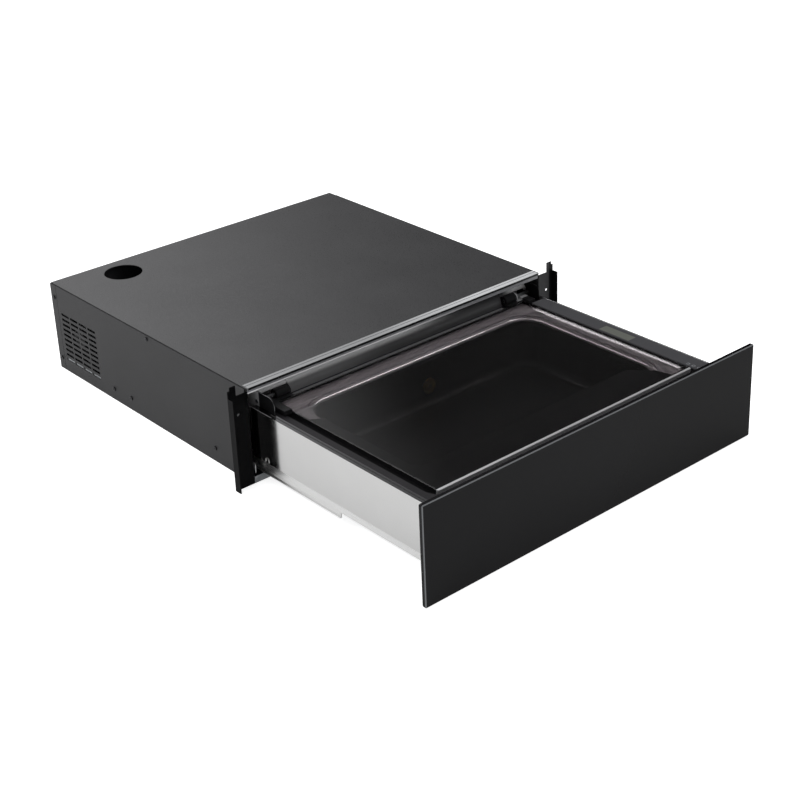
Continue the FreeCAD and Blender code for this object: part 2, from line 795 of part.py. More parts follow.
def build_slides():
    """Three-part slides: fixed channel, middle hat section and moving cap under the drawer."""
    gauge = d.slide_sheet
    middle_top = moving_rail_top - gauge - d.slide_play
    middle_bottom = middle_top - d.middle_rail_height
    fixed_floor_top = middle_bottom - d.slide_play
    fixed_bottom = fixed_floor_top - gauge
    fixed_top = fixed_bottom + d.fixed_rail_height
    for side, word in ((-1, "left"), (1, "right")):
        outer = slide_middle + d.fixed_rail_width / 2
        inner = slide_middle - d.fixed_rail_width / 2
        channel = [
            (inner, fixed_bottom), (outer, fixed_bottom), (outer, fixed_top),
            (outer - gauge * 3, fixed_top), (outer - gauge * 3, fixed_top - gauge),
            (outer - gauge, fixed_top - gauge), (outer - gauge, fixed_floor_top),
            (inner + gauge, fixed_floor_top), (inner + gauge, fixed_top - gauge),
            (inner + gauge * 3, fixed_top - gauge), (inner + gauge * 3, fixed_top),
            (inner, fixed_top),
        ]
        channel = [(x * side, z) for x, z in channel]
        rail = prism(f"rail_channel_{word}", "XZ_Plane", channel, d.slide_start, slide_end)
        feet = [
            box(f"rail_foot_{word}", across(side, inner + 4, outer - 4),
                (back, back + 20), (d.base_sheet, fixed_bottom))
            for back in (d.slide_start + 22, d.slide_start + d.slide_length / 2 - 10,
                         slide_end - 42)
        ]
        keep(fuse(f"rail_fixed_{word}", rail, *feet), f"rail_fixed_{word}")

        outer = slide_middle + d.middle_rail_width / 2
        inner = slide_middle - d.middle_rail_width / 2
        toe = gauge + 0.2
        hat = [
            (inner - toe, middle_bottom), (inner + gauge, middle_bottom),
            (inner + gauge, middle_top - gauge), (outer - gauge, middle_top - gauge),
            (outer - gauge, middle_bottom), (outer + toe, middle_bottom),
            (outer + toe, middle_bottom + gauge), (outer, middle_bottom + gauge),
            (outer, middle_top), (inner, middle_top),
            (inner, middle_bottom + gauge), (inner - toe, middle_bottom + gauge),
        ]
        hat = [(x * side, z) for x, z in hat]
        start = d.slide_start - d.drawer_travel / 2
        keep(prism(f"rail_middle_{word}", "XZ_Plane", hat, start, start + d.slide_length),
             f"rail_middle_{word}")

        outer = slide_outer
        inner = slide_outer - d.moving_rail_width
        low = d.moving_rail_bottom
        cap = [
            (inner, low), (inner + gauge, low), (inner + gauge, moving_rail_top - gauge),
            (outer - gauge, moving_rail_top - gauge), (outer - gauge, low), (outer, low),
            (outer, moving_rail_top), (inner, moving_rail_top),
        ]
        cap = [(x * side, z) for x, z in cap]
        start = d.slide_start - d.drawer_travel
        keep(prism(f"rail_moving_{word}", "XZ_Plane", cap, drawer_front + d.drawer_wall,
                   start + d.slide_length),
             f"rail_moving_{word}")


def build_drawer_frame():
    """Floor pan that carries the drawer on the slides."""
    half = d.drawer_floor_half_width
    wall = d.drawer_wall
    section = [
        (-half, d.drawer_floor_bottom), (half, d.drawer_floor_bottom), (half, moving_rail_top),
        (slide_outer - wall, moving_rail_top), (slide_outer - wall, moving_rail_top + wall),
        (half - wall, moving_rail_top + wall), (half - wall, floor_top),
        (wall - half, floor_top), (wall - half, moving_rail_top + wall),
        (wall - slide_outer, moving_rail_top + wall), (wall - slide_outer, moving_rail_top),
        (-half, moving_rail_top),
    ]
    pan = prism("drawer_pan", "XZ_Plane", section, drawer_front, back_cover_back)
    front = box("drawer_pan_front", (-half, half), (drawer_front, drawer_front + wall),
                (d.drawer_floor_bottom, d.cross_member_foot))
    back = box("drawer_pan_back", (-half, half), (back_cover_back - wall, back_cover_back),
               (d.drawer_floor_bottom, d.back_cover_split))
    corners = [
        box(f"drawer_pan_corner{side}", across(side, half - wall, slide_outer),
            (d.drawer_back, back_cover_back + 1),
            (moving_rail_top - 1, moving_rail_top + wall + 1))
        for side in (-1, 1)
    ]
    hose_hole = rod("drawer_pan_hose", "z", (d.hose_across, hose_drop_back()),
                    d.hose_radius + 0.4, d.drawer_floor_bottom - 1, floor_top + 1)
    blank = cut("drawer_pan", fuse("drawer_pan", pan, front, back), *corners)
    keep(cut("drawer_frame", blank, hose_hole), "drawer_frame")


def hose_drop_back():
    """Distance back of the suction hose where it drops through the drawer floor."""
    return d.drawer_back + 10


def build_drawer_sides():
    """Brushed steel side walls; the left one has a folded top lip."""
    wall = d.drawer_wall
    outer = d.drawer_half_width
    top = d.drawer_top
    lip_inner = outer - d.lip_width
    left = [
        (-outer, moving_rail_top), (-outer, top), (-lip_inner, top),
        (-lip_inner, top - d.lip_return), (-lip_inner - wall, top - d.lip_return),
        (-lip_inner - wall, top - wall), (wall - outer, top - wall),
        (wall - outer, moving_rail_top),
    ]
    keep(prism("drawer_side_left", "XZ_Plane", left, drawer_front, d.drawer_back),
         "drawer_side_left")
    right = rectangle((outer - wall, outer), (moving_rail_top, top))
    keep(prism("drawer_side_right", "XZ_Plane", right, drawer_front, d.drawer_back),
         "drawer_side_right")


def build_back_cover():
    """Stainless back of the drawer, curved over towards the rear, open for the hinges."""
    wall = d.drawer_wall
    front, back = d.drawer_back, back_cover_back
    top = d.back_cover_top
    section = [
        (front, floor_top), (front, top), (back, top), (back, d.back_cover_split),
        (back - wall, d.back_cover_split), (back - wall, top - wall),
        (front + wall, top - wall), (front + wall, floor_top),
    ]
    shell = prism("back_cover_shell", "YZ_Plane", section, -back_cover_half, back_cover_half)

    def crease(y, z):
        return lambda edge: (
            near(edge.BoundBox.YMin, y) and near(edge.BoundBox.YMax, y)
            and near(edge.BoundBox.ZMin, z) and near(edge.BoundBox.ZMax, z)
        )

    round_edges(shell, d.back_cover_radius, crease(front, top))
    round_edges(shell, d.back_cover_radius - wall * 1.25, crease(front + wall, top - wall))
    low = d.hinge_up - d.barrel_radius - d.hinge_gap * 3
    gaps = [
        box(f"hinge_gap{side}", across(side, d.hinge_gap_inner, d.hinge_gap_outer),
            (front - 1, front + 11), (low, top + 1))
        for side in (-1, 1)
    ]
    window = box("hose_window", (d.hose_across - 6, d.hose_across + 6), (front - 1, front + 3),
                 (d.hose_up - 12, d.hose_up + 6))
    eyes = [
        rod(f"back_cover_eye{side}", "x", (d.hinge_back, d.hinge_up),
            d.pin_radius + d.hinge_gap / 2, *across(side, d.cheek_outer, back_cover_half + 1))
        for side in (-1, 1)
    ]
    side_cuts = [
        box(f"back_cover_foot{side}", across(side, d.drawer_floor_half_width - wall - 0.3,
                                             back_cover_half + 1),
            (front - 1, front + 3), (floor_top - 1, moving_rail_top + wall))
        for side in (-1, 1)
    ]
    keep(cut("back_cover", shell, *gaps, *eyes, window, *side_cuts), "back_cover")


def build_front():
    """Glass front, the carrier plate it is bonded to, and the cross member behind."""
    half = d.front_width / 2
    top = d.front_bottom + d.front_height
    glass = prism("front_panel", "XZ_Plane", rectangle((-half, half), (d.front_bottom, top)),
                  front_face, front_back_face)

    def corner(edge):
        limits = edge.BoundBox
        return limits.YMax - limits.YMin > float(d.front_thickness) - 1e-4

    round_edges(glass, d.front_corner, corner)
    round_edges(glass, d.front_bevel,
                lambda edge: near(edge.BoundBox.YMin, front_face)
                and near(edge.BoundBox.YMax, front_face), "PartDesign::Chamfer")
    keep(glass, "front_panel")
    carrier = prism("panel_carrier", "XZ_Plane",
                    rectangle((-d.carrier_half_width, d.carrier_half_width),
                              (d.drawer_floor_bottom, d.carrier_top)),
                    front_back_face, drawer_front)
    keep(carrier, "panel_carrier")
    back = -(d.well_front + d.deck_fold + d.cross_member_gap)
    under = d.deck_top - d.deck_sheet
    wall = d.drawer_wall
    member = [
        (drawer_front, under - wall), (back - wall, under - wall), (back - wall, d.cross_member_foot),
        (back, d.cross_member_foot), (back, under), (drawer_front, under),
    ]
    keep(prism("front_cross_member", "YZ_Plane", member, -d.well_left, d.well_right), "front_cross_member")


def build_deck():
    """Deck round the lid with a well whose edge is turned down to the chamber flange."""
    left_edge = d.drawer_half_width - d.lip_width
    right_edge = d.control_inner
    fold = d.deck_fold
    deck = prism("deck_blank", "XY_Plane",
                 rectangle((-left_edge, right_edge), (drawer_front, d.drawer_back - 0.5)),
                 d.deck_top - d.deck_sheet, d.deck_top)
    add_pad(deck, rectangle((-d.well_left - fold, right_edge), (-d.well_front - fold, d.drawer_back - 0.5)),
            d.flange_top, d.deck_top - d.deck_sheet)
    add_pocket(deck, rectangle((-d.well_left, d.well_right), (-d.well_front, d.drawer_back + 1)),
               d.deck_top + 1, d.deck_top - d.flange_top + 2)
    front = -d.well_front
    for limit, radius in ((-d.well_left, d.well_corner_left), (d.well_right, d.well_corner_right)):
        round_edges(deck, radius, lambda edge, limit=limit: upright(edge) and near(
            edge.Vertexes[0].Point.x, limit) and near(edge.Vertexes[0].Point.y, front))
    keep(deck, "deck_frame")


def build_chamber():
    """Deep-drawn stainless chamber with a flat flange for the seal."""
    wall = d.chamber_wall
    half = d.chamber_half_width
    front, back = -d.chamber_front, -d.chamber_back
    bottom = d.chamber_floor - wall
    bowl = prism("chamber_bowl", "XY_Plane",
                 rectangle((-half - wall, half + wall), (front - wall, back + wall)),
                 bottom, flange_bottom, d.chamber_corner + wall)
    add_pad(bowl, rectangle((-d.well_left - d.deck_fold, d.control_inner),
                            (-d.well_front - d.deck_fold, -d.flange_back)),
            flange_bottom, d.flange_top)
    add_pocket(bowl, rectangle((-half, half), (front, back)), d.flange_top,
               d.flange_top - d.chamber_floor, d.chamber_corner)
    round_edges(bowl, d.chamber_floor_radius, lambda edge: level(edge, d.chamber_floor))
    round_edges(bowl, d.chamber_floor_radius + wall, lambda edge: level(edge, bottom))

    def round_opening(edge, height, margin):
        limits = edge.BoundBox
        inside = abs(limits.XMin) < float(half) + margin and abs(limits.XMax) < float(half) + margin
        return inside and limits.YMax < float(back) + margin and level(edge, height)

    round_edges(bowl, d.chamber_rim_radius - wall,
                lambda edge: round_opening(edge, flange_bottom, float(wall) + 0.1))
    round_edges(bowl, d.chamber_rim_radius, lambda edge: round_opening(edge, d.flange_top, 0.1))
    port = rod("chamber_port", "y", (d.hose_across, d.hose_up), 5, back - 2, back + wall + 2)
    keep(cut("chamber", bowl, port), "chamber")
    inner = half + d.seal_offset
    outer = inner + d.seal_width
    reach = d.seal_offset + d.seal_width
    seal_top = d.flange_top + d.seal_height
    seal = prism("chamber_seal_ring", "XY_Plane",
                 rectangle((-outer, outer), (front - reach, back + reach)),
                 d.flange_top, seal_top, d.chamber_corner + reach)
    add_pocket(seal, rectangle((-inner, inner), (front - d.seal_offset, back + d.seal_offset)),
               seal_top, d.seal_height, d.chamber_corner + d.seal_offset)
    keep(seal, "chamber_seal")


def build_suction():
    """Port in the chamber wall, and the hose from it down through the drawer floor."""
    wall_in = -d.chamber_back
    wall_out = wall_in + d.chamber_wall
    centre = (d.hose_across, d.hose_up)
    solid = fuse(
        "suction_fitting",
        rod("suction_disc", "y", centre, 11, wall_in - 2, wall_in),
        rod("suction_neck", "y", centre, 4.9, wall_in - 1, wall_out + 1),
        rod("suction_boss", "y", centre, 7, wall_out, wall_out + 8),
    )
    bore = rod("suction_bore", "y", centre, 2.5, wall_in - 3, wall_out + 9)
    keep(cut("suction_fitting", solid, bore), "suction_fitting")
    start = float(wall_out + 8)
    bend = float(d.hose_bend)
    drop = float(hose_drop_back())
    x, z = float(d.hose_across), float(d.hose_up)
    end = float(d.chain_bottom + d.chain_height) + 0.4
    path = bent_path(
        FreeCAD.Vector(x, start, z),
        FreeCAD.Vector(x, drop, z),
        FreeCAD.Vector(x, drop, end),
        bend,
    )
    keep(tube("suction_hose", path, d.hose_radius), "suction_hose")
    back = float(d.partition_back) - 1.6
    riser = back + bend + 8
    low = float(d.chain_bottom + d.chain_height / 2)
    x = float(d.hose_across + d.chain_pitch_across)
    path = bent_path(
        FreeCAD.Vector(x, back, low),
        FreeCAD.Vector(x, riser, low),
        FreeCAD.Vector(x, riser, float(valve_bottom())),
        bend,
    )
    keep(tube("pump_hose", path, d.hose_radius), "pump_hose")


def bent_path(start, corner, end, bend):
    """Two straight runs joined by a tangent arc."""
    into = (corner - start).normalize()
    out = (end - corner).normalize()
    first = corner - into * bend
    last = corner + out * bend
    middle = corner + (out - into) * bend * (1 - math.sqrt(0.5))
    edges = [
        Part.LineSegment(start, first).toShape(),
        Part.Arc(first, middle, last).toShape(),
        Part.LineSegment(last, end).toShape(),
    ]
    return Part.Wire(edges)


def tube(name, path, radius):
    """A solid round tube along a path of lines and arcs."""
    start = path.Edges[0]
    point = start.valueAt(start.FirstParameter)
    along = start.tangentAt(start.FirstParameter)
    section = Part.Wire(Part.Circle(point, along, float(radius)).toShape())
    shape = path.makePipeShell([section], True, True)
    expected = math.pi * float(radius) ** 2 * path.Length
    if abs(shape.Volume / expected - 1) > 0.01:
        raise RuntimeError(f"{name}: the tube has the wrong volume")
    feature = doc.addObject("Part::Feature", name)
    feature.Shape = shape
    feature.Placement = FreeCAD.Placement()
    return feature


def build_cable_chain():
    """Flat chain on the base that carries the hose and leads to the drawer."""
    moving = d.hose_across
    fixed = d.hose_across + d.chain_pitch_across
    half = d.chain_width / 2
    low, high = d.chain_bottom, d.chain_bottom + d.chain_height
    turn = d.chain_turn_back
    middle = (moving + fixed) / 2
    run = box("chain_run", (fixed - half, fixed + half), (turn, d.partition_back - 2), (low, high))
    ring = cut(
        "chain_ring",
        rod("chain_outer", "z", (middle, turn), d.chain_pitch_across / 2 + half, low, high),
        rod("chain_inner", "z", (middle, turn), d.chain_pitch_across / 2 - half, low, high),
        box("chain_half", (middle - 40, middle + 40), (turn, turn + 40), (low - 1, high + 1)),
    )
    end = box("chain_end", (moving - half, moving + half), (turn - 1, turn + 6), (low, high))
    mount = box("chain_mount", (moving - half, moving + half),
                (turn - 4, back_cover_back), (high, d.drawer_floor_bottom - 0.3))
    keep(fuse("cable_chain", run, ring, end, mount), "cable_chain")


def build_lid():
    """Heavy glass lid with a grip strip, hinge blocks and the counter bar."""
    glass = prism("lid_glass", "XY_Plane",
                  rectangle((-d.lid_half_width, d.lid_half_width), (-d.lid_front, -d.lid_back)),
                  d.lid_bottom, lid_top)
    round_edges(glass, 1.2, lambda edge: level(edge, lid_top), "PartDesign::Chamfer")
    keep(glass, "lid_glass")
    grip_top = lid_top - 0.4
    grip = prism("lid_grip", "XY_Plane",
                 rectangle((-d.lid_half_width, d.lid_half_width),
                           (-d.lid_front - d.grip_depth, -d.lid_front)),
                 grip_top - d.grip_height, grip_top)
    round_edges(grip, d.grip_depth * 0.6, lambda edge: upright(edge) and near(
        edge.Vertexes[0].Point.y, -d.lid_front - d.grip_depth))
    keep(grip, "lid_grip")
    for side, word, reach in ((-1, "left", d.cheek_left), (1, "right", d.cheek_right)):
        barrel = rod(f"barrel_{word}", "x", (d.hinge_back, d.hinge_up), d.barrel_radius,
                     *across(side, d.barrel_inner, d.barrel_outer))
        low = d.deck_top + d.cheek_clearance
        arm = box(f"arm_{word}", across(side, d.barrel_inner, d.lid_half_width),
                  (-d.lid_back, d.hinge_back), (low, lid_top))
        cheek = box(f"cheek_{word}", across(side, d.lid_half_width, d.cheek_outer),
                    (-reach, d.hinge_back), (low, d.hinge_up - 1))
        bore = rod(f"bore_{word}", "x", (d.hinge_back, d.hinge_up), d.pin_radius + d.pin_play,
                   *across(side, d.barrel_inner - 1, d.cheek_outer + 1))
        label = f"lid_hinge_{word}"
        keep(cut(label, fuse(label, barrel, arm, cheek), bore), label)
    counter = box("counter_bar_blank", (-d.bar_half_length - 2, d.bar_half_length + 2),
                  (-d.bar_middle - d.counter_width / 2, -d.bar_middle + d.counter_width / 2),
                  (d.counter_bottom, d.lid_bottom))
    keep(counter, "counter_bar")


def build_hinge_plates():
    """Upright plates that hold the hinge pins, and the pins."""
    pins = []
    for side, word, reach in ((-1, "left", d.plate_left), (1, "right", d.plate_right)):
        low, high = across(side, back_cover_half, hinge_side)
        bottom = d.deck_top if side < 0 else d.flange_top
        outline = rectangle((-reach, d.plate_back), (bottom, d.back_cover_top))
        plate = prism(f"hinge_plate_{word}_blank", "YZ_Plane", outline, low, high)
        round_edges(plate, d.plate_corner, lambda edge, reach=reach: near(
            edge.BoundBox.YMin, -reach) and near(edge.BoundBox.YMax, -reach)
            and near(edge.BoundBox.ZMin, d.back_cover_top))
        eye = rod(f"plate_eye_{word}", "x", (d.hinge_back, d.hinge_up),
                  d.pin_radius + d.pin_play, low - 1, high + 1)
        keep(cut(f"hinge_plate_{word}", plate, eye), f"hinge_plate_{word}")
        pins.append(rod(f"hinge_pin_{word}", "x", (d.hinge_back, d.hinge_up), d.pin_radius,
                        *across(side, d.barrel_inner, hinge_side)))
    keep(group("hinge_pins", pins), "hinge_pins")


def build_sealing_bar():
    """Sealing bar on two lift rods, its heating band, and the lift cylinders."""
    half_width = d.bar_width / 2
    y = (-d.bar_middle - half_width, -d.bar_middle + half_width)
    body = box("bar_body", (-d.bar_half_length, d.bar_half_length), y, (d.bar_bottom, bar_top))
    centres = [(d.lift_spacing / 2 * side, -d.bar_middle) for side in (-1, 1)]
    rods = [
        rod("lift_rod", "z", centre, d.rod_radius, d.rod_end, d.bar_bottom)
        for centre in centres
    ]
    keep(fuse("seal_bar", body, *rods), "seal_bar")
    half_band = d.band_width / 2
    band = box("band", (-d.bar_half_length, d.bar_half_length),
               (-d.bar_middle - half_band, -d.bar_middle + half_band),
               (bar_top, bar_top + d.band_thickness))
    keep(band, "seal_band")
    cylinders = []
    for centre in centres:
        shell = rod("lift_cylinder", "z", centre, d.lift_radius, d.chamber_floor,
                    d.chamber_floor + d.lift_height)
        bore = rod("lift_bore", "z", centre, d.rod_radius + d.shaft_play,
                   d.rod_end - 2, d.chamber_floor + d.lift_height + 1)
        cylinders.append(cut("lift_cylinder", shell, bore))
    keep(group("lift_cylinders", cylinders), "lift_cylinders")


def build_controls():
    """Touch glass with its display window, circuit board and plastic box."""
    inner = d.control_inner
    outer = d.drawer_half_width - d.drawer_wall
    y = (drawer_front, -d.control_back)
    glass_bottom = d.drawer_top - d.control_glass_thickness
    box_bottom = glass_bottom - d.control_box_depth
    wall = d.control_box_wall
    play = d.display_play
    display_x = (d.display_inner, d.display_inner + d.display_width)
    display_y = (-d.display_back - d.display_length, -d.display_back)
    glass = prism("control_glass", "XY_Plane", rectangle((inner, outer), y), glass_bottom,
                  d.drawer_top)
    add_pocket(glass, rectangle((display_x[0] - play, display_x[1] + play),
                                (display_y[0] - play, display_y[1] + play)),
               d.drawer_top, d.control_glass_thickness)
    keep(glass, "control_glass")
    shell = cut(
        "control_shell",
        box("control_box_outer", (inner, outer), y, (box_bottom, glass_bottom)),
        box("control_box_inner", (inner + wall, outer - wall),
            (y[0] + wall, y[1] - wall), (box_bottom + wall, glass_bottom + 1)),
    )
    middle = (inner + outer) / 2
    board_bottom = box_bottom + wall + d.post_height
    posts = [
        rod("control_post", "z", (middle, back), d.post_radius, box_bottom + wall, board_bottom)
        for back in (y[0] + 40, y[1] - 40)
    ]
    keep(fuse("control_box", shell, *posts), "control_box")
    half_board = d.control_board_width / 2
    top = board_bottom + d.board_thickness
    screen = box("display_block", display_x, display_y, (top, d.drawer_top - d.display_face_drop))
    keep(screen, "display")
    board = box("control_pcb", (middle - half_board, middle + half_board),
                (y[0] + 30, y[1] - 30), (board_bottom, top))
    chips = [
        box("control_chip", (middle - 5, middle + 5), (back, back + 12), (top, top + 2))
        for back in (y[0] + 60, y[0] + 90, y[1] - 70)
    ]
    keep(fuse("control_board", board, *chips), "control_board")


def valve_bottom():
    """Underside of the valve block, where the hose comes up."""
    return pump_bottom + 18


def build_pump_set():
    """Oil-sealed vane pump on rubber feet with its motor, rotor, filter and valve block."""
    axis = (d.axis_back, d.axis_up)
    half = d.pump_length / 2
    y = (d.axis_back - half, d.axis_back + half)
    pump_top = pump_bottom + d.pump_height
    body = box("pump_block", (motor_right, pump_right), y, (pump_bottom, pump_top))
    cavity = rod("pump_cavity", "x", (d.axis_back, d.axis_up + d.cavity_offset),
                 d.cavity_radius, motor_right + 8, pump_right - 28)
    eye = rod("pump_eye", "x", axis, d.shaft_radius + d.shaft_play, motor_right - 1,
              pump_right - 20)
    sight = rod("pump_sight", "y", (pump_right - 14, d.axis_up - 20), 8, y[0] - 1, y[0] + 2)
    keep(cut("vacuum_pump", body, cavity, eye, sight), "vacuum_pump")
    feet = [
        rod("pump_foot", "z", (x, back), d.pump_feet_radius, d.base_sheet, pump_bottom)
        for x in (motor_right + 14, pump_right - 14)
        for back in (y[0] + 14, y[1] - 14)
    ]
    keep(group("pump_feet", feet), "pump_feet")
    cowl_left = motor_left - d.cowl_length
    housing = fuse(
        "motor_housing",
        rod("motor_shell", "x", axis, d.motor_radius, motor_left, motor_right),
        rod("motor_cowl", "x", axis, d.motor_radius - 2, cowl_left, motor_left),
    )
    cavity = rod("motor_cavity", "x", axis, d.motor_bore, motor_left + d.motor_end,
                 motor_right - d.motor_end)
    eye = rod("motor_eye", "x", axis, d.shaft_radius + d.shaft_play, cowl_left - 1,
              motor_right + 1)
    fan_room = rod("cowl_room", "x", axis, d.motor_radius - 2 - d.cowl_wall,
                   cowl_left + d.cowl_wall, motor_left)
    grille = rod("cowl_inlet", "x", axis, d.motor_radius * 0.6, cowl_left - 1,
                 cowl_left + d.cowl_wall + 1)
    keep(cut("pump_motor", housing, cavity, eye, fan_room, grille), "pump_motor")
    rotor = fuse(
        "motor_rotor",
        rod("shaft", "x", axis, d.shaft_radius, cowl_left + 5, pump_right - 22),
        rod("rotor_core", "x", axis, d.motor_bore - 1, motor_left + d.motor_end + 12,
            motor_right - d.motor_end - 12),
        rod("shaft_fan", "x", axis, d.motor_fan_radius, cowl_left + 8, cowl_left + 16),
        rod("pump_rotor", "x", axis, d.rotor_radius, motor_right + 10, pump_right - 30),
    )
    keep(rotor, "motor_rotor")
    filter_centre = (d.axis_back + half - d.filter_radius - 2, pump_top - d.filter_radius - 4)
    filter_body = fuse(
        "exhaust_filter",
        rod("filter_can", "x", filter_centre, d.filter_radius, pump_right,
            pump_right + d.filter_length),
        rod("filter_cap", "x", filter_centre, d.filter_radius * 0.7,
            pump_right + d.filter_length, pump_right + d.filter_length + 8),
    )
    keep(filter_body, "exhaust_filter")
    block_bottom = valve_bottom()
    block_top = block_bottom + d.valve_height
    block = box("valve_manifold", (pump_right, pump_right + d.valve_width),
                (y[0] + 3, y[0] + 3 + d.valve_width), (block_bottom, block_top))
    coils = [
        rod("valve_coil", "z", (pump_right + d.valve_width * share, y[0] + 3 + d.valve_width / 2),
            7.5, block_top, block_top + 26)
        for share in (0.26, 0.74)
    ]
    keep(fuse("valve_block", block, *coils), "valve_block")


def build_cooling_fan():
    """Axial fan behind the vent slots: frame with struts, and the bladed wheel."""
    half = d.fan_size / 2
    outer = -(side_inner - d.base_sheet)
    inner = outer + d.fan_thickness
    centre = (d.fan_back, d.fan_up)
    frame = box("fan_box", (outer, inner), (d.fan_back - half, d.fan_back + half),
                (d.fan_up - half, d.fan_up + half))
    bore = rod("fan_bore", "x", centre, d.fan_bore, outer - 1, inner + 1)
    strut_left = inner - 4
    hub = rod("fan_hub_seat", "x", centre, d.fan_hub - 1, strut_left, inner)
    struts = [
        box("fan_strut_level", (strut_left, inner), (d.fan_back - half + 1, d.fan_back + half - 1),
            (d.fan_up - 2, d.fan_up + 2)),
        box("fan_strut_upright", (strut_left, inner), (d.fan_back - 2, d.fan_back + 2),
            (d.fan_up - half + 1, d.fan_up + half - 1)),
    ]
    axle = rod("fan_axle", "x", centre, 2, outer + 6, inner)
    feet = [
        box("fan_foot", (outer, inner), (back, back + 12), (d.base_sheet, d.fan_up - half))
        for back in (d.fan_back - half + 4, d.fan_back + half - 16)
    ]
    keep(fuse("fan_frame", cut("fan_frame", frame, bore), hub, *struts, axle, *feet), "fan_frame")
    wheel_left, wheel_right = outer + 3, strut_left - 0.6
    wheel = [rod("fan_wheel_hub", "x", centre, d.fan_hub, wheel_left, wheel_right)]
    blade_count = 7
    pitch = 35
    for number in range(blade_count):
        blade = doc.addObject("Part::Box", "fan_blade")
        bind(blade, "Length", size_of(14))
        bind(blade, "Width", size_of(1.6))
        bind(blade, "Height", d.fan_bore - d.fan_tip_gap - d.fan_hub + 1)
        around = FreeCAD.Rotation(FreeCAD.Vector(1, 0, 0), 360 * number / blade_count)
        twist = FreeCAD.Rotation(FreeCAD.Vector(0, 0, 1), pitch)
        start = FreeCAD.Vector(-6.2, -4.6, float(d.fan_hub) - 1)
        centre_point = FreeCAD.Vector(float(wheel_left + wheel_right) / 2, float(d.fan_back),
                                      float(d.fan_up))
        blade.Placement = FreeCAD.Placement(centre_point + around.multVec(start),
                                            around.multiply(twist))
        wheel.append(blade)
    bore = rod("fan_wheel_bore", "x", centre, 2 + d.shaft_play, wheel_left + 2, wheel_right + 1)
    keep(cut("fan_wheel", fuse("fan_wheel", *wheel), bore), "fan_wheel")


def build_electronics():
    """Power board on standoffs, and the mains inlet in the rear panel."""
    left = d.power_board_left
    right = left + d.power_board_width
    front = d.power_board_front
    back = front + d.power_board_depth
    bottom = d.base_sheet + d.standoff_height
    top = bottom + d.board_thickness
    board = fuse(
        "power_board",
        box("power_pcb", (left, right), (front, back), (bottom, top)),
        box("transformer", (left + 10, left + 48), (front + 16, front + 50), (top, top + 32)),
        box("heat_sink", (left + 64, left + 69), (front + 12, front + 54), (top, top + 26)),
        rod("capacitor_a", "z", (left + 84, front + 18), 8, top, top + 25),
        rod("capacitor_b", "z", (left + 84, front + 40), 8, top, top + 25),
        box("relay", (left + 98, left + 114), (front + 14, front + 34), (top, top + 15)),
    )
    keep(board, "power_board")
    standoffs = [
        rod("board_standoff", "z", (x, y), d.post_radius, d.base_sheet, bottom)
        for x in (left + 6, right - 6)
        for y in (front + 6, back - 6)
    ]
    keep(group("board_standoffs", standoffs), "board_standoffs")
    x, z = d.inlet_across, d.inlet_up
    shell = fuse(
        "inlet_shell",
        box("inlet_body", (x - 13.5, x + 13.5), (rear_face - 27, rear_face), (z - 10, z + 10)),
        box("inlet_flange", (x - 19, x + 19), (rear_face, rear_face + 2), (z - 12, z + 12)),
    )
    recess = box("inlet_recess", (x - 11.8, x + 11.8), (rear_face - 15, rear_face + 3),
                 (z - 8, z + 8))
    blades = [
        box("inlet_blade", (x + offset - 1, x + offset + 1), (rear_face - 16, rear_face - 5),
            (z + up - 2, z + up + 2))
        for offset, up in ((-7, -1), (0, 2.5), (7, -1))
    ]
    keep(fuse("mains_inlet", cut("mains_inlet", shell, recess), *blades), "mains_inlet")


def build_latch():
    """Push latch behind the partition with its sprung plunger."""
    closed_back = back_cover_back + d.drawer_travel
    tip = closed_back + d.latch_gap
    body_front = d.partition_back + d.housing_sheet
    body = box("latch_block", (d.latch_across - 10, d.latch_across + 10),
               (body_front, body_front + 27), (d.latch_up - 8, d.latch_up + 8))
    bore = rod("latch_bore", "y", (d.latch_across, d.latch_up), d.latch_radius + d.shaft_play,
               body_front - 1, body_front + 19)
    keep(cut("latch_body", body, bore), "latch_body")
    plunger = rod("plunger", "y", (d.latch_across, d.latch_up), d.latch_radius, tip,
                  body_front + 13)
    keep(plunger, "latch_plunger")


build_base_pan()
build_side_panels()
build_rear_panel()
build_top_cover()
build_front_trim()
build_brackets()
build_partition()
build_screws()
build_slides()
build_drawer_frame()
build_drawer_sides()
build_back_cover()
build_front()
build_deck()
build_chamber()
build_suction()
build_cable_chain()
build_lid()
build_hinge_plates()
build_sealing_bar()
build_controls()
build_pump_set()
build_cooling_fan()
build_electronics()
build_latch()
doc.recompute()

faults = [o.Name for o in doc.Objects if "Invalid" in o.State or "Error" in o.State]
if faults:
    raise RuntimeError(f"failed objects: {faults}")
os.makedirs("parts", exist_ok=True)
for node in nodes:
    if node.Shape.isNull() or not node.Shape.isValid():
        raise RuntimeError(f"{node.Label}: bad shape")
    node.Shape.exportStep(f"parts/{node.Label}.step")
print(len(nodes), "sub-parts")
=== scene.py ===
"""A built-in vacuum sealing drawer, drawn out, with its smoked glass lid shut.

Metres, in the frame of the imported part: +X right, +Y to the rear, +Z up, front facing -Y.
"""
import math

import bpy
from mathutils import Matrix, Vector


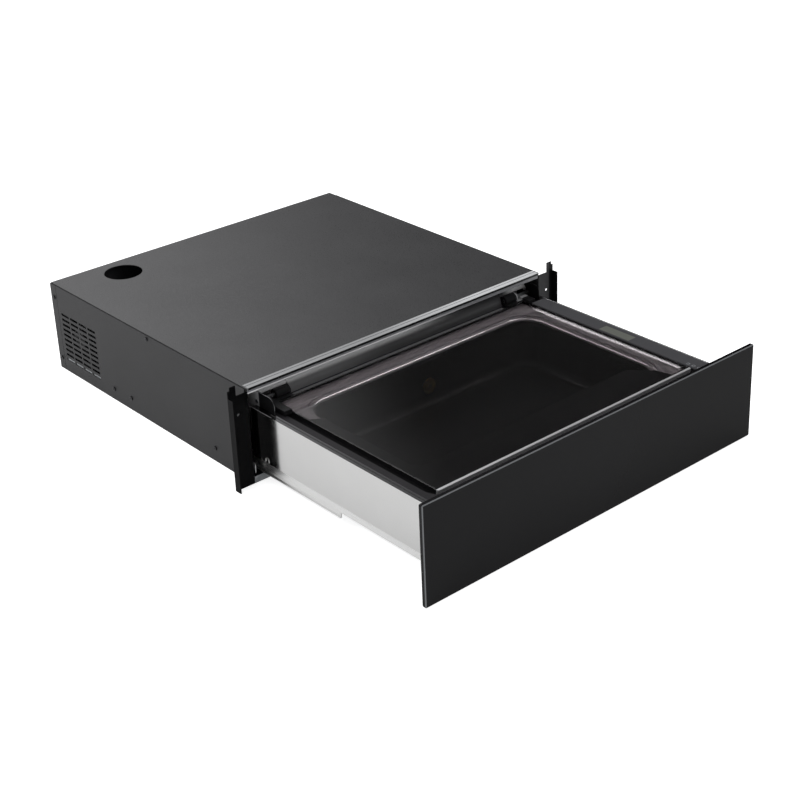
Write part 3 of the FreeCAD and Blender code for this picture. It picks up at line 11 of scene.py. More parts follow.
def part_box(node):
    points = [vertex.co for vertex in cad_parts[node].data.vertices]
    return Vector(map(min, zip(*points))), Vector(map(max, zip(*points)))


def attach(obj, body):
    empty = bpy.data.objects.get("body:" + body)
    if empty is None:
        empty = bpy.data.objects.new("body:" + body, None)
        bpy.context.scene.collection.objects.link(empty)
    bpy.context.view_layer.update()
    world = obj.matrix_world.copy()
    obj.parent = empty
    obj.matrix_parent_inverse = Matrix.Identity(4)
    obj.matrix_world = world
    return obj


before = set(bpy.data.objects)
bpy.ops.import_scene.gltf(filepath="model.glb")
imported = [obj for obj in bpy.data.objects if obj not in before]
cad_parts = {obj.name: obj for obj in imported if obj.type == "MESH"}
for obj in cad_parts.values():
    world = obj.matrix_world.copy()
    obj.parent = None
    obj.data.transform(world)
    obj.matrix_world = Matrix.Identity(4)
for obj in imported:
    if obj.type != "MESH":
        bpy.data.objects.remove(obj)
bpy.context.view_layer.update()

# Camera
# A 73 mm lens about 2.3 m from the drawer, raised 25 degrees and 41 degrees round to the left,
# with a slight roll. The frame is 800 by 800.
azimuth, elevation, roll = math.radians(-40.8), math.radians(24.6), math.radians(-2.0)
camera_place = (-1.3193, -1.5898, 1.0950)
back = Vector((
    math.sin(azimuth) * math.cos(elevation),
    -math.cos(azimuth) * math.cos(elevation),
    math.sin(elevation),
))
right = (-back).cross(Vector((0, 0, 1))).normalized()
up = right.cross(-back).normalized()
rolled_right = right * math.cos(roll) + up * math.sin(roll)
rolled_up = up * math.cos(roll) - right * math.sin(roll)
turn = Matrix((rolled_right, rolled_up, back)).transposed().to_4x4()
lens = bpy.data.cameras.new("camera")
lens.lens = 73.38
lens.sensor_width = 36
lens.shift_x = -0.0375
lens.shift_y = -0.1
lens.clip_start = 0.05
lens.clip_end = 50
camera = bpy.data.objects.new("camera", lens)
camera.matrix_world = Matrix.Translation(camera_place) @ turn
bpy.context.scene.collection.objects.link(camera)
bpy.context.scene.camera = camera

# Studio
# An even grey-white room with two large soft lamps over a white paper floor. Camera rays see plain
# white behind the drawer. Metal and glass mirror a dim room with a low band of light, a high screen
# towards the rear and a screen behind the drawer's left half. Light falls through the glass lid
# from overhead, strongest from two small spots that draw thin lines on rounded metal edges.


def colour(code):
    """A linear colour from an sRGB hex code."""
    parts = [int(code[i:i + 2], 16) / 255 for i in (1, 3, 5)]
    return [c / 12.92 if c <= 0.04045 else ((c + 0.055) / 1.055) ** 2.4 for c in parts] + [1]


def add(tree, kind, inputs=None, **settings):
    """Adds a shader node; inputs hold values, or sockets or nodes to link from."""
    node = tree.nodes.new("ShaderNode" + kind)
    for key, value in settings.items():
        setattr(node, key, value)
    for key, value in (inputs or {}).items():
        if isinstance(value, bpy.types.Node):
            value = value.outputs[0]
        if isinstance(value, bpy.types.NodeSocket):
            tree.links.new(value, node.inputs[key])
        else:
            node.inputs[key].default_value = value
    return node


world = bpy.data.worlds.new("studio")
world.use_nodes = True
bpy.context.scene.world = world
tree = world.node_tree
tree.nodes.clear()
path = add(tree, "LightPath")
direction = add(tree, "TexCoord").outputs["Generated"]
heading = add(tree, "SeparateXYZ", {0: direction})


def screen(level, *edges):
    """A bright area of the room with soft edges, each given as an axis, its dark and bright end."""
    area = level
    for axis, dark_end, bright_end in edges:
        edge = add(tree, "MapRange", {0: heading.outputs[axis], 1: dark_end, 2: bright_end},
                   interpolation_type="SMOOTHSTEP")
        area = add(tree, "Math", {0: area, 1: edge}, operation="MULTIPLY")
    return area


strength = 0.03
for area in (
    screen(0.2, ("Z", 0.34, 0.0)),
    screen(0.63, ("Z", 0.52, 0.74), ("Y", -0.6, 0.2)),
    screen(1.05, ("X", 0.58, 0.44), ("Y", 0.3, 0.6), ("Z", 0.2, 0.34)),
):
    strength = add(tree, "Math", {0: strength, 1: area}, operation="ADD")
through = add(tree, "Math", {0: 0.06, 1: screen(1.15, ("Z", 0.5, 0.66))}, operation="ADD")
for aim in ((0.594, -0.02, 0.803), (-0.056, 0.62, 0.783)):
    towards = add(tree, "VectorMath", {0: direction, 1: aim}, operation="DOT_PRODUCT")
    small_spot = add(tree, "MapRange", {0: towards.outputs["Value"], 1: 0.94, 2: 0.985, 4: 4.5},
                     interpolation_type="SMOOTHSTEP")
    through = add(tree, "Math", {0: through, 1: small_spot}, operation="ADD")
room = add(tree, "Background", {0: (0.62, 0.62, 0.63, 1), 1: 1.0})
mirrored = add(tree, "Background", {0: (1.0, 1.0, 1.01, 1), 1: strength})
behind_glass = add(tree, "Background", {0: (1.0, 0.993, 1.0, 1), 1: through})
white = add(tree, "Background", {0: (1, 1, 1, 1), 1: 1.0})
glossy = add(tree, "MixShader", {0: path.outputs["Is Glossy Ray"], 1: room, 2: mirrored})
inside = add(tree, "MixShader", {0: path.outputs["Is Transmission Ray"], 1: glossy,
                                 2: behind_glass})
seen = add(tree, "MixShader", {0: path.outputs["Is Camera Ray"], 1: inside, 2: white})
add(tree, "OutputWorld", {0: seen})


def lamp(name, place, target, size, power):
    """A square soft lamp aimed at a point."""
    data = bpy.data.lights.new(name, "AREA")
    data.shape = "SQUARE"
    data.size = size
    data.energy = power
    lamp_object = bpy.data.objects.new(name, data)
    beam = Vector(target) - Vector(place)
    lamp_object.location = place
    lamp_object.rotation_euler = beam.to_track_quat("-Z", "Y").to_euler()
    lamp_object.visible_glossy = False
    bpy.context.scene.collection.objects.link(lamp_object)


lamp("key_lamp", (-1.6, 0.6, 2.2), (0, 0, 0.05), 1.6, 26)
lamp("fill_lamp", (0.7, -1.9, 1.9), (0, -0.1, 0.05), 1.4, 13)

floor_mesh = bpy.data.meshes.new("floor")
reach = 8
floor_mesh.from_pydata(
    [(-reach, -reach, 0), (reach, -reach, 0), (reach, reach, 0), (-reach, reach, 0)],
    [], [(0, 1, 2, 3)],
)
floor = bpy.data.objects.new("floor", floor_mesh)
floor.location.z = -0.0002
bpy.context.scene.collection.objects.link(floor)
paper = bpy.data.materials.new("white_paper")
paper.use_nodes = True
tree = paper.node_tree
tree.nodes.clear()
path = add(tree, "LightPath")
grain = add(tree, "TexNoise", {"Scale": 900.0, "Detail": 2.0})
fibre = add(tree, "Bump", {"Strength": 0.03, "Distance": 0.0002, "Height": grain})
matt = add(tree, "BsdfDiffuse", {"Color": colour("#f2f2f2"), "Normal": fibre})
glow = add(tree, "Emission", {"Color": (1, 1, 1, 1), "Strength": 0.78})
lifted = add(tree, "AddShader", {0: matt, 1: glow})
mirror_glow = add(tree, "Emission", {"Color": (1, 1, 1, 1), "Strength": 0.2})
mirrored = add(tree, "AddShader", {0: matt, 1: mirror_glow})
by_mirror = add(tree, "MixShader", {0: path.outputs["Is Glossy Ray"], 1: matt, 2: mirrored})
shown = add(tree, "MixShader", {0: path.outputs["Is Camera Ray"], 1: by_mirror, 2: lifted})
add(tree, "OutputMaterial", {0: shown})
floor_mesh.materials.append(paper)

# Top cover
# A 536 by 503 mm sheet, 1 mm thick, in a dark grey fine-textured powder coat, with a round 58 mm
# hole. The coat gives a soft sheen with a fine orange peel.


def principled(name):
    """A new material with one Principled shader: material, tree, shader and rest position."""
    material = bpy.data.materials.new(name)
    material.use_nodes = True
    tree = material.node_tree
    tree.nodes.clear()
    shader = add(tree, "BsdfPrincipled")
    add(tree, "OutputMaterial", {0: shader})
    place = add(tree, "TexCoord").outputs["Object"]
    return material, tree, shader, place


def finish_nodes(material, *names):
    """Gives CAD nodes one material."""
    for name in names:
        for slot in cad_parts[name].material_slots:
            slot.material = material


def mottle(tree, place, size_mm, low, high, detail=3.0):
    """Noise of a real grain size, spread between two values."""
    noise = add(tree, "TexNoise", {"Vector": place, "Scale": 1000 / size_mm, "Detail": detail})
    return add(tree, "MapRange", {0: noise, 1: 0.3, 2: 0.7, 3: low, 4: high})


def drive(tree, socket_name, source):
    """Lets a pattern drive one socket of the shader."""
    tree.links.new(source.outputs[0], tree.nodes["Principled BSDF"].inputs[socket_name])


def paint(tree, amount, dark, light):
    """Colours the surface between two hex codes."""
    mix = add(tree, "Mix", {"Factor": amount, 6: colour(dark), 7: colour(light)}, data_type="RGBA")
    tree.links.new(mix.outputs[2], tree.nodes["Principled BSDF"].inputs["Base Color"])


def emboss(tree, height, depth_mm, strength=1.0):
    """Raises the surface by a pattern of a real depth."""
    drive(tree, "Normal", add(tree, "Bump", {"Height": height, "Distance": depth_mm / 1000,
                                             "Strength": strength}))


def coated_metal(name, dark, light, roughness, grain_mm=0.9, depth_mm=0.05, gloss=0.5):
    """Powder-coated sheet: fine orange-peel grain and slight cloudiness."""
    material, tree, shader, place = principled(name)
    paint(tree, mottle(tree, place, 90, 0, 1), dark, light)
    grain = mottle(tree, place, grain_mm, 0, 1, 2.0)
    drive(tree, "Roughness", add(tree, "MapRange", {0: grain, 3: roughness - 0.06,
                                                    4: roughness + 0.06}))
    emboss(tree, grain, depth_mm)
    shader.inputs["IOR"].default_value = 1.5
    shader.inputs["Specular IOR Level"].default_value = gloss
    return material


cover_coat = coated_metal("dark_grey_textured_coat", "#313132", "#373738", 0.32, grain_mm=1.3,
                          depth_mm=0.04, gloss=0.65)
finish_nodes(cover_coat, "top_cover")

# Side panels and brackets
# Matt black powder coat on 1 mm sheet, as a lit and a shaded copy: the flat sides are painted a
# shade lighter as painted light, the folded brackets near black as painted shade. The right
# bracket's inner face is painted grey as painted light and its outer edge is black.
# painted light: the flat sides get a lighter black than the brackets
side_coat = coated_metal("black_powder_coat_painted_light", "#272728", "#2c2c2d", 0.48, gloss=0.28)
finish_nodes(side_coat, "side_panel_left", "side_panel_right", "rear_panel")
# painted shade: the brackets get a near-black copy of the coat with almost no gloss
bracket_coat = coated_metal("black_bracket_coat_painted_shade", "#070708", "#0b0b0c", 0.42, gloss=0.05)
finish_nodes(bracket_coat, "bracket_left", "hinge_plate_right", "panel_carrier")


def reading(material):
    """A finished material's tree, and the place and facing of its surface as X, Y and Z."""
    tree = material.node_tree
    spot = add(tree, "TexCoord")
    place = add(tree, "SeparateXYZ", {0: spot.outputs["Object"]})
    facing = add(tree, "SeparateXYZ", {0: spot.outputs["Normal"]})
    return tree, place.outputs, facing.outputs


def overlay(tree, mask, coat):
    """Lays a second colour over the surface where the mask is one."""
    base = tree.nodes["Principled BSDF"].inputs["Base Color"]
    over = coat if isinstance(coat, bpy.types.NodeSocket) else colour(coat)
    mix = add(tree, "Mix", {"Factor": mask, 6: base.links[0].from_socket, 7: over},
              data_type="RGBA")
    tree.links.new(mix.outputs[2], base)


# painted light: the right bracket's inner face is painted grey; only its outer edge keeps the black
worn_coat = coated_metal("bracket_coat_painted_light_inside", "#363637", "#3c3c3d", 0.42, gloss=0.15)
tree, place, facing = reading(worn_coat)
overlay(tree, add(tree, "MapRange", {0: place["X"], 1: 0.2885, 2: 0.29}), "#080809")
finish_nodes(worn_coat, "bracket_right")

# Crossbar
# Grey coated steel under the trim strip. Its lower fold, up to 135 mm above the base, carries a
# painted highlight, near white, on the left half, which fades into the coat within 130 mm right of
# the middle.
grey_coat = coated_metal("grey_crossbar_coat_painted_highlight", "#7d7e81", "#858689", 0.4)
tree, place, facing = reading(grey_coat)
below = add(tree, "MapRange", {0: place["Z"], 1: 0.1351, 2: 0.1347})
leftward = add(tree, "MapRange", {0: place["X"], 1: 0.13, 2: 0.0})
# painted highlight: the lower fold's left half is painted near white
overlay(tree, add(tree, "Math", {0: below, 1: leftward}, operation="MINIMUM"), "#dededf")
finish_nodes(grey_coat, "top_crossbar")

# Trim strip
# A satin aluminium profile 12.8 mm wide with drawing lines along X. Its front lip is painted near
# black as painted shade, and the strip is painted lighter towards the right as painted light, so it
# looks darker towards the left.


def brushed(name, dark, light, roughness, along, spread=0.07, depth_mm=0.004):
    """Brushed metal: streaks 60 mm long and 0.4 mm wide along one axis."""
    material, tree, shader, place = principled(name)
    scale = [1000 / 0.4] * 3
    scale["XYZ".index(along)] = 1000 / 60
    stretched = add(tree, "Mapping", {0: place, 3: scale})
    streaks = add(tree, "TexNoise", {"Vector": stretched, "Scale": 1.0, "Detail": 2.0})
    cloud = mottle(tree, place, 120, 0, 1)
    paint(tree, add(tree, "Math", {0: streaks, 1: cloud}, operation="MULTIPLY"), dark, light)
    drive(tree, "Roughness", add(tree, "MapRange", {0: streaks, 1: 0.3, 2: 0.7,
                                                    3: roughness - spread, 4: roughness + spread}))
    emboss(tree, streaks, depth_mm)
    shader.inputs["Metallic"].default_value = 1.0
    return material


strip_aluminium = brushed("satin_aluminium_painted_shade_lip", "#a4a5a6", "#a4a5a6", 0.42, "X", 0.04, 0.0015)
tree, place, facing = reading(strip_aluminium)
# painted light: the strip is painted lighter towards the right
overlay(tree, add(tree, "MapRange", {0: place["X"], 1: -0.05, 2: 0.14}), "#e2e3e4")
# painted shade: faces turned to the front, the lip, are painted near black
overlay(tree, add(tree, "Math", {0: facing["Y"], 1: -0.12}, operation="LESS_THAN"), "#19191a")
tree.nodes["Principled BSDF"].inputs["Metallic"].default_value = 0.35
finish_nodes(strip_aluminium, "front_trim_strip")

# Screws
# Black zinc-plated 6.4 mm pan heads with a cross recess; only the crown of a head glints.
plated, tree, shader, place = principled("black_zinc_plating")
paint(tree, mottle(tree, place, 2.5, 0, 1), "#3a3a3b", "#464648")
shader.inputs["Metallic"].default_value = 1.0
drive(tree, "Roughness", mottle(tree, place, 0.8, 0.22, 0.4))
finish_nodes(plated, "housing_screws")

# Folded inner sheets
# Galvanised steel, 1 to 1.2 mm thick, with a spangle of about 8 mm: base pan, partition, drawer
# pan and cross member.
zinc_sheet, tree, shader, place = principled("galvanised_steel")
cells = add(tree, "TexVoronoi", {"Vector": place, "Scale": 1000 / 8})
spangle = add(tree, "SeparateColor", {0: cells.outputs["Color"]})
paint(tree, spangle, "#8d9092", "#a9acae")
drive(tree, "Roughness", add(tree, "MapRange", {0: spangle, 3: 0.38, 4: 0.5}))
emboss(tree, mottle(tree, place, 3, 0, 1), 0.02)
shader.inputs["Metallic"].default_value = 1.0
finish_nodes(zinc_sheet, "base_pan", "partition", "drawer_frame", "front_cross_member")

# Slides
# The moving and middle channels are bright rolled steel; the fixed ones are phosphated dark. A
# bent spring-steel loop, 7 mm wide and 7 mm high, stands on the left slide by the housing, and a
# bent wire stop closes the front of the fixed channel.
rail_bright = brushed("bright_rolled_steel", "#dededd", "#eaeae9", 0.28, "Y", 0.03, 0.0015)
finish_nodes(rail_bright, "rail_moving_left", "rail_moving_right", "rail_middle_left",
             "rail_middle_right")
rail_dark = coated_metal("dark_phosphated_steel", "#3a3a3c", "#47474a", 0.38)
finish_nodes(rail_dark, "rail_fixed_left", "rail_fixed_right")


def bead(name, points, radius, material, body):
    """A thin round bead along a line of points."""
    curve = bpy.data.curves.new(name, "CURVE")
    curve.dimensions = "3D"
    line = curve.splines.new("POLY")
    line.points.add(len(points) - 1)
    for point, place in zip(line.points, points):
        point.co = (*place, 1)
    curve.bevel_depth = radius
    curve.bevel_resolution = 2
    curve.use_fill_caps = True
    piece = bpy.data.objects.new(name, curve)
    piece.data.materials.append(material)
    bpy.context.scene.collection.objects.link(piece)
    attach(piece, body)


catch_x, catch_foot, catch_top = -0.2604, 0.0385, 0.0425
catch = [(catch_x, -0.0298, catch_foot)]
for step in range(13):
    angle = math.pi - step * math.pi / 12
    catch.append((catch_x, -0.0262 + 0.0032 * math.cos(angle),
                  catch_top + 0.003 * math.sin(angle)))
catch.append((catch_x, -0.0226, catch_foot))
bead("slide_catch", catch, 0.00035, rail_bright, "drawer")
stop_x, stop_middle = -0.2676, 0.0285
stop = []
for step in range(11):
    angle = math.pi * (0.35 + step * 0.07)
    stop.append((stop_x, -0.0045 + 0.0035 * math.cos(angle), stop_middle + 0.004 * math.sin(angle)))
stop.append((stop_x, -0.0075, 0.0185))
bead("slide_stop", stop, 0.0005, rail_bright, "housing")

# Drawer sides
# Satin stainless steel, 1.2 mm thick, brushed along the drawer and bowed by a few degrees. The top
# is folded over 9 mm wide, its top faces painted darker grey as painted shade; on the left it has a
# dark joint and, by the housing, an edge bead painted darker grey as painted shade.
steel_along = brushed("stainless_brushed_along", "#c6c6c5", "#d1d1d0", 0.14, "Y", 0.03, 0.0012)
tree, place, facing = reading(steel_along)
bow = add(tree, "VectorMath", {0: add(tree, "TexCoord").outputs["Normal"], 1: (0, -0.075, 0)})
bow = add(tree, "VectorMath", {0: bow}, operation="NORMALIZE")
tree.links.new(bow.outputs[0], tree.nodes["Bump"].inputs["Normal"])
# painted shade: faces turning upwards are painted darker grey
overlay(tree, add(tree, "Math", {0: facing["Z"], 1: 0.7}, operation="GREATER_THAN"), "#6a6a6b")
finish_nodes(steel_along, "drawer_side_left", "drawer_side_right")


def moulded(name, dark, light, roughness, grain_mm=0.6, depth_mm=0.02, gloss=0.5):
    """Moulded plastic or rubber with a fine spark-eroded grain."""
    material, tree, shader, place = principled(name)
    grain = mottle(tree, place, grain_mm, 0, 1, 2.0)
    paint(tree, mottle(tree, place, 60, 0, 1), dark, light)
    drive(tree, "Roughness", add(tree, "MapRange", {0: grain, 3: roughness - 0.05,
                                                    4: roughness + 0.05}))
    emboss(tree, grain, depth_mm)
    shader.inputs["IOR"].default_value = 1.46
    shader.inputs["Specular IOR Level"].default_value = gloss
    return material


side_low, side_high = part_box("drawer_side_left")
black_rubber = moulded("black_rubber", "#1b1b1c", "#232324", 0.55)
joint_x, joint_z = side_high.x - 0.0035, side_high.z - 0.0002
bead("side_joint_left", [(joint_x, -0.034, joint_z), (joint_x, side_low.y + 0.001, joint_z)],
     0.0007, black_rubber, "drawer")
# painted shade: the outer top edge by the housing is a darker grey bead
dull_edge = coated_metal("steel_edge_painted_shade", "#5f5f60", "#69696a", 0.5, gloss=0.3)
edge_x, edge_z = side_low.x + 0.0006, side_high.z - 0.0001
bead("side_edge_left", [(edge_x, 0.01, edge_z), (edge_x, -0.042, edge_z)],
     0.0006, dull_edge, "drawer")

# Drawer back
# The same steel brushed across, with a curved top. From 118 mm above the base upwards the curve
# carries a painted highlight, near white and less metallic, on its left two thirds and at the right
# corner; painted shade, a darker grey, darkens the back towards the right.
steel_across = brushed("stainless_brushed_across", "#8e8e8f", "#9a9a9b", 0.36, "X", 0.03, 0.0015)
tree, place, facing = reading(steel_across)
upper, leftward, corner, duller = [
    add(tree, "MapRange", {0: place[axis], 1: start, 2: end}, interpolation_type="SMOOTHSTEP")
    for axis, start, end in (("Z", 0.118, 0.1265), ("X", 0.14, 0.0), ("X", 0.2, 0.222),
                             ("X", -0.16, 0.0))
]
bright = add(tree, "Math", {0: leftward, 1: corner}, operation="MAXIMUM")
bright = add(tree, "Math", {0: upper, 1: bright}, operation="MULTIPLY")
# painted shade: darker grey towards the right
overlay(tree, duller, "#666667")
# painted highlight: near white and less metallic on the upper curve
overlay(tree, bright, "#f2f2f2")
drive(tree, "Metallic", add(tree, "MapRange", {0: bright, 3: 0.78, 4: 0.1}))
finish_nodes(steel_across, "back_cover")


def made_piece(name, points, faces, material, body="drawer"):
    """A piece with its own mesh, finish and body."""
    mesh = bpy.data.meshes.new(name)
    mesh.from_pydata(points, [], faces)
    mesh.materials.append(material)
    piece = bpy.data.objects.new(name, mesh)
    bpy.context.scene.collection.objects.link(piece)
    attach(piece, body)


# Drawer back over the hinge gaps
# Above each hinge knuckle the back's top curves on in the same 1.2 mm sheet, from 34 to 90 degrees
# round a radius of 22 mm.
back_low, back_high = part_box("back_cover")
curve_radius, sheet = 0.022, 0.0012
back_end, gap_end = 0.2445, 0.197
profile = []
for step in range(9):
    angle = math.radians(34 + step * 7)
    for depth in (0, sheet):
        reach = curve_radius - depth
        profile.append((back_low.y + curve_radius - reach * math.cos(angle),
                        back_high.z - curve_radius + reach * math.sin(angle)))
count = len(profile)
faces = [(0, count, count + 1, 1), (count - 2, count - 1, 2 * count - 1, 2 * count - 2)]
for i in range(0, count - 2, 2):
    faces += [(i, i + 2, count + i + 2, count + i), (i + 1, count + i + 1, count + i + 3, i + 3),
              (i, i + 1, i + 3, i + 2), (count + i, count + i + 2, count + i + 3, count + i + 1)]
for word, near_x, far_x in (("left", -back_end, -gap_end), ("right", gap_end, back_end)):
    points = [(x, y, z) for x in (near_x, far_x) for y, z in profile]
    made_piece(f"hinge_skin_{word}", points, faces, steel_across)

# Ledge behind the lid
# The foot of the drawer's back is turned forwards: a satin sheet ledge, 0.2 mm proud, lies between
# it and the lid, with a dark joint along the foot.
ledge_end, ledge_low, ledge_high = 0.195, 0.10605, 0.10625
seam_y, seam_z = back_low.y + 0.0001, 0.1062
bead("cover_seam", [(-gap_end, seam_y, seam_z), (gap_end, seam_y, seam_z)], 0.001, black_rubber,
     "drawer")


def plate(name, low, high, material):
    """A thin upright block between two corners that rides on the drawer."""
    corners = [(x, y, z) for x in (low[0], high[0]) for y in (low[1], high[1])
               for z in (low[2], high[2])]
    made_piece(name, corners, [(0, 1, 3, 2), (4, 6, 7, 5), (0, 4, 5, 1), (2, 3, 7, 6),
                               (0, 2, 6, 4), (1, 5, 7, 3)], material)


ledge_coat = coated_metal("satin_ledge", "#69696a", "#707071", 0.4, gloss=0.3)
plate("rear_ledge", (-ledge_end, -0.0092, ledge_low), (ledge_end, back_low.y - sheet, ledge_high),
      ledge_coat)

# Deck
# Dark grey plastic 2 mm thick round the lid, with a 25 mm corner radius at the well. It starts
# beside the drawer's left side with a bright rolled edge.
deck_plastic = moulded("dark_grey_plastic", "#242325", "#29282a", 0.4, gloss=0.15)
finish_nodes(deck_plastic, "deck_frame")
deck_low, deck_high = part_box("deck_frame")
roll_x, roll_z = deck_low.x + 0.0012, deck_high.z + 0.0002
bead("deck_edge_left", [(roll_x, -0.042, roll_z), (roll_x, deck_low.y + 0.001, roll_z)],
     0.0008, rail_bright, "drawer")
black_plastic = moulded("black_plastic", "#161617", "#1d1d1e", 0.42)
finish_nodes(black_plastic, "control_box", "cable_chain", "fan_frame", "fan_wheel", "mains_inlet")

# Chamber
# Deep-drawn steel: the rim stays satin bright, and from 3 mm below it the inside is painted near
# black as painted shade in the deep well. The draw leaves it slightly rippled, with no brushing
# direction.
# Behind the opening the flange is pickled matt, so it shows grey there and mirrors nothing.
drawn_steel, tree, shader, place = principled("deep_drawn_steel_painted_shade_inside")
ripple = mottle(tree, place, 14, 0, 1, 1.0)
haze = mottle(tree, place, 0.7, 0, 1, 2.0)
spot = add(tree, "SeparateXYZ", {0: place})
rim = add(tree, "MapRange", {0: spot.outputs["Z"], 1: 0.0922, 2: 0.0934})
# painted shade: below the rim the inside is painted near black
paint(tree, haze, "#131414", "#171818")
satin = add(tree, "Mix", {"Factor": haze, 6: colour("#b4b0b2"), 7: colour("#bebabc")},
            data_type="RGBA")
overlay(tree, rim, satin.outputs[2])
matt_start, matt_end = -0.045, -0.033
mirror = add(tree, "MapRange", {0: spot.outputs["Y"], 1: matt_start, 2: matt_end, 3: 0.6, 4: 0.05})
drive(tree, "Metallic", add(tree, "Math", {0: rim, 1: mirror}, operation="MULTIPLY"))
shader.inputs["Specular IOR Level"].default_value = 0.1
drive(tree, "Roughness", add(tree, "MapRange", {0: rim, 3: 0.34, 4: 0.13}))
emboss(tree, ripple, 0.05, 0.4)
finish_nodes(drawn_steel, "chamber")

# Rim of the chamber
# The drawn edge is ground to a bright facet 1.2 mm wide along the rear, round the rear corners
# and in the front right corner.
polished = coated_metal("satin_steel_edge", "#dcdcdd", "#e4e4e5", 0.22, gloss=0.6)
polished.node_tree.nodes["Principled BSDF"].inputs["Metallic"].default_value = 0.85
flange_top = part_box("chamber")[1].z
rim_half, rim_rear, rim_front, rim_radius = 0.17, -0.0725, -0.277, 0.0352
facet_width, facet_rise = 0.0012, 0.0003


def wedge(name, inner, outer, low, high, material):
    """A strip along two lines, its top face rising from low at the inner to high at the outer."""
    points, faces = [], []
    for (ax, ay), (bx, by) in zip(inner, outer):
        points += [(ax, ay, low), (bx, by, high), (bx, by, low)]
    for i in range(0, len(points) - 3, 3):
        faces += [(i, i + 1, i + 4, i + 3), (i + 1, i + 2, i + 5, i + 4), (i + 2, i, i + 3, i + 5)]
    faces += [(0, 2, 1), tuple(len(points) - 3 + k for k in range(3))]
    made_piece(name, points, faces, material)


def rim_arc(side, middle, first, last, reach, steps=12):
    """Points of one corner arc of the rim, from angle first to angle last in degrees."""
    angles = [math.radians(first + (last - first) * k / steps) for k in range(steps + 1)]
    return [(side * rim_half + reach * math.cos(a), middle + reach * math.sin(a)) for a in angles]


for name, tail, arc in (
    ("rim_line_rear", [0.124], (-1, rim_rear, 168, 90)),
    ("rim_line_corner", [], (1, rim_rear, 86, 40)),
    ("rim_line_front", [], (1, rim_front, -8, -84)),
):
    inner, outer = [
        rim_arc(*arc, rim_radius + wide) + [(x, rim_rear + rim_radius + wide) for x in tail]
        for wide in (0, facet_width)
    ]
    wedge(name, inner, outer, flange_top - facet_rise, flange_top + facet_rise, polished)

# Bevel beside the flange
# A satin steel strip 290 mm long lies right of the chamber's flange, its face tilted 32 degrees
# inwards, and shows through the glass as one bright line.
strip_front, strip_rear, foot_x, crest_x = -0.312, -0.022, 0.2276, 0.2308
wedge("flange_bevel", [(foot_x, strip_front), (foot_x, strip_rear)],
      [(crest_x, strip_front), (crest_x, strip_rear)], flange_top + 0.0001, flange_top + 0.0021,
      polished)

# Seals, hoses and feet
# Silver-grey silicone seal 10 mm wide, as matt as the flange behind the opening, milky silicone
# hoses 8 mm thick, and black rubber pump feet.
seal_silicone = moulded("silver_grey_silicone", "#a8a3a6", "#b2adb0", 0.25, depth_mm=0.002)
tree, place, facing = reading(seal_silicone)
drive(tree, "Metallic", add(tree, "MapRange", {0: place["Y"], 1: matt_start, 2: matt_end,
                                               3: 0.5, 4: 0.05}))
finish_nodes(seal_silicone, "chamber_seal")
finish_nodes(black_rubber, "pump_feet")
hose_silicone = moulded("milky_silicone", "#b9b8b2", "#cac9c3", 0.4)
shader = hose_silicone.node_tree.nodes["Principled BSDF"]
shader.inputs["Subsurface Weight"].default_value = 0.3
shader.inputs["Subsurface Scale"].default_value = 0.003
finish_nodes(hose_silicone, "suction_hose", "pump_hose")

# Glass lid
# A 458 by 317 mm plate of smoked glass 12 mm thick. Its ground edges are blackened, which shows
# as a black side 12 mm high except at the rear; the top face is clear enough to show the rim of
# the chamber. A bright aluminium grip 6.2 mm wide closes the front edge.


def edged(tree, mask, code, roughness):
    """Gives the masked faces of a pane a plain ground finish."""
    ground = add(tree, "BsdfPrincipled", {"Base Color": colour(code), "Roughness": roughness})
    both = add(tree, "MixShader", {0: mask, 1: tree.nodes["Principled BSDF"], 2: ground})
    output = next(node for node in tree.nodes if node.type == "OUTPUT_MATERIAL")
    tree.links.new(both.outputs[0], output.inputs[0])


smoked, tree, shader, place = principled("smoked_glass")
paint(tree, mottle(tree, place, 200, 0, 1), "#c8c5c6", "#ccc9ca")
drive(tree, "Roughness", mottle(tree, place, 70, 0.02, 0.045))
shader.inputs["Transmission Weight"].default_value = 1.0
shader.inputs["IOR"].default_value = 1.5
tree, place, facing = reading(smoked)
flat = add(tree, "Math", {0: facing["Z"]}, operation="ABSOLUTE")
side = add(tree, "Math", {0: flat, 1: 0.6}, operation="LESS_THAN")
forward = add(tree, "Math", {0: facing["Y"], 1: 0.6}, operation="LESS_THAN")
edged(tree, add(tree, "Math", {0: side, 1: forward}, operation="MULTIPLY"), "#0c0c0d", 0.25)
finish_nodes(smoked, "lid_glass")
bright_aluminium = brushed("bright_aluminium", "#dcddde", "#eaebec", 0.4, "X", 0.04, 0.0015)
bright_aluminium.node_tree.nodes["Principled BSDF"].inputs["Metallic"].default_value = 0.85
finish_nodes(bright_aluminium, "lid_grip")

# Printed border
# A matt black print, fired into the glass 0.04 mm above its underside, hides the sealing bar and
# the left side of the seal: a band 60 mm wide in front and 22 mm wide on the left, which end in
# slanted cuts, with an inner radius of 20 mm.
print_black = moulded("black_fired_print", "#0b0b0c", "#0f0f10", 0.5, gloss=0.2)
lid_low, lid_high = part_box("lid_glass")
inset, front_band, left_band, inner_radius = 0.001, 0.06, 0.022, 0.02
turn_x, turn_y = lid_low.x + left_band + inner_radius, lid_low.y + front_band + inner_radius
border = [
    (lid_low.x + inset, lid_low.y + inset), (lid_high.x - 0.024, lid_low.y + inset),
    (lid_high.x - 0.032, lid_low.y + 0.03), (lid_high.x - 0.06, lid_low.y + front_band),
]
for step in range(9):
    angle = math.radians(270 - step * 90 / 8)
    border.append((turn_x + inner_radius * math.cos(angle),
                   turn_y + inner_radius * math.sin(angle)))
border += [(lid_low.x + left_band, lid_high.y - 0.075), (lid_low.x + inset, lid_high.y - 0.06)]
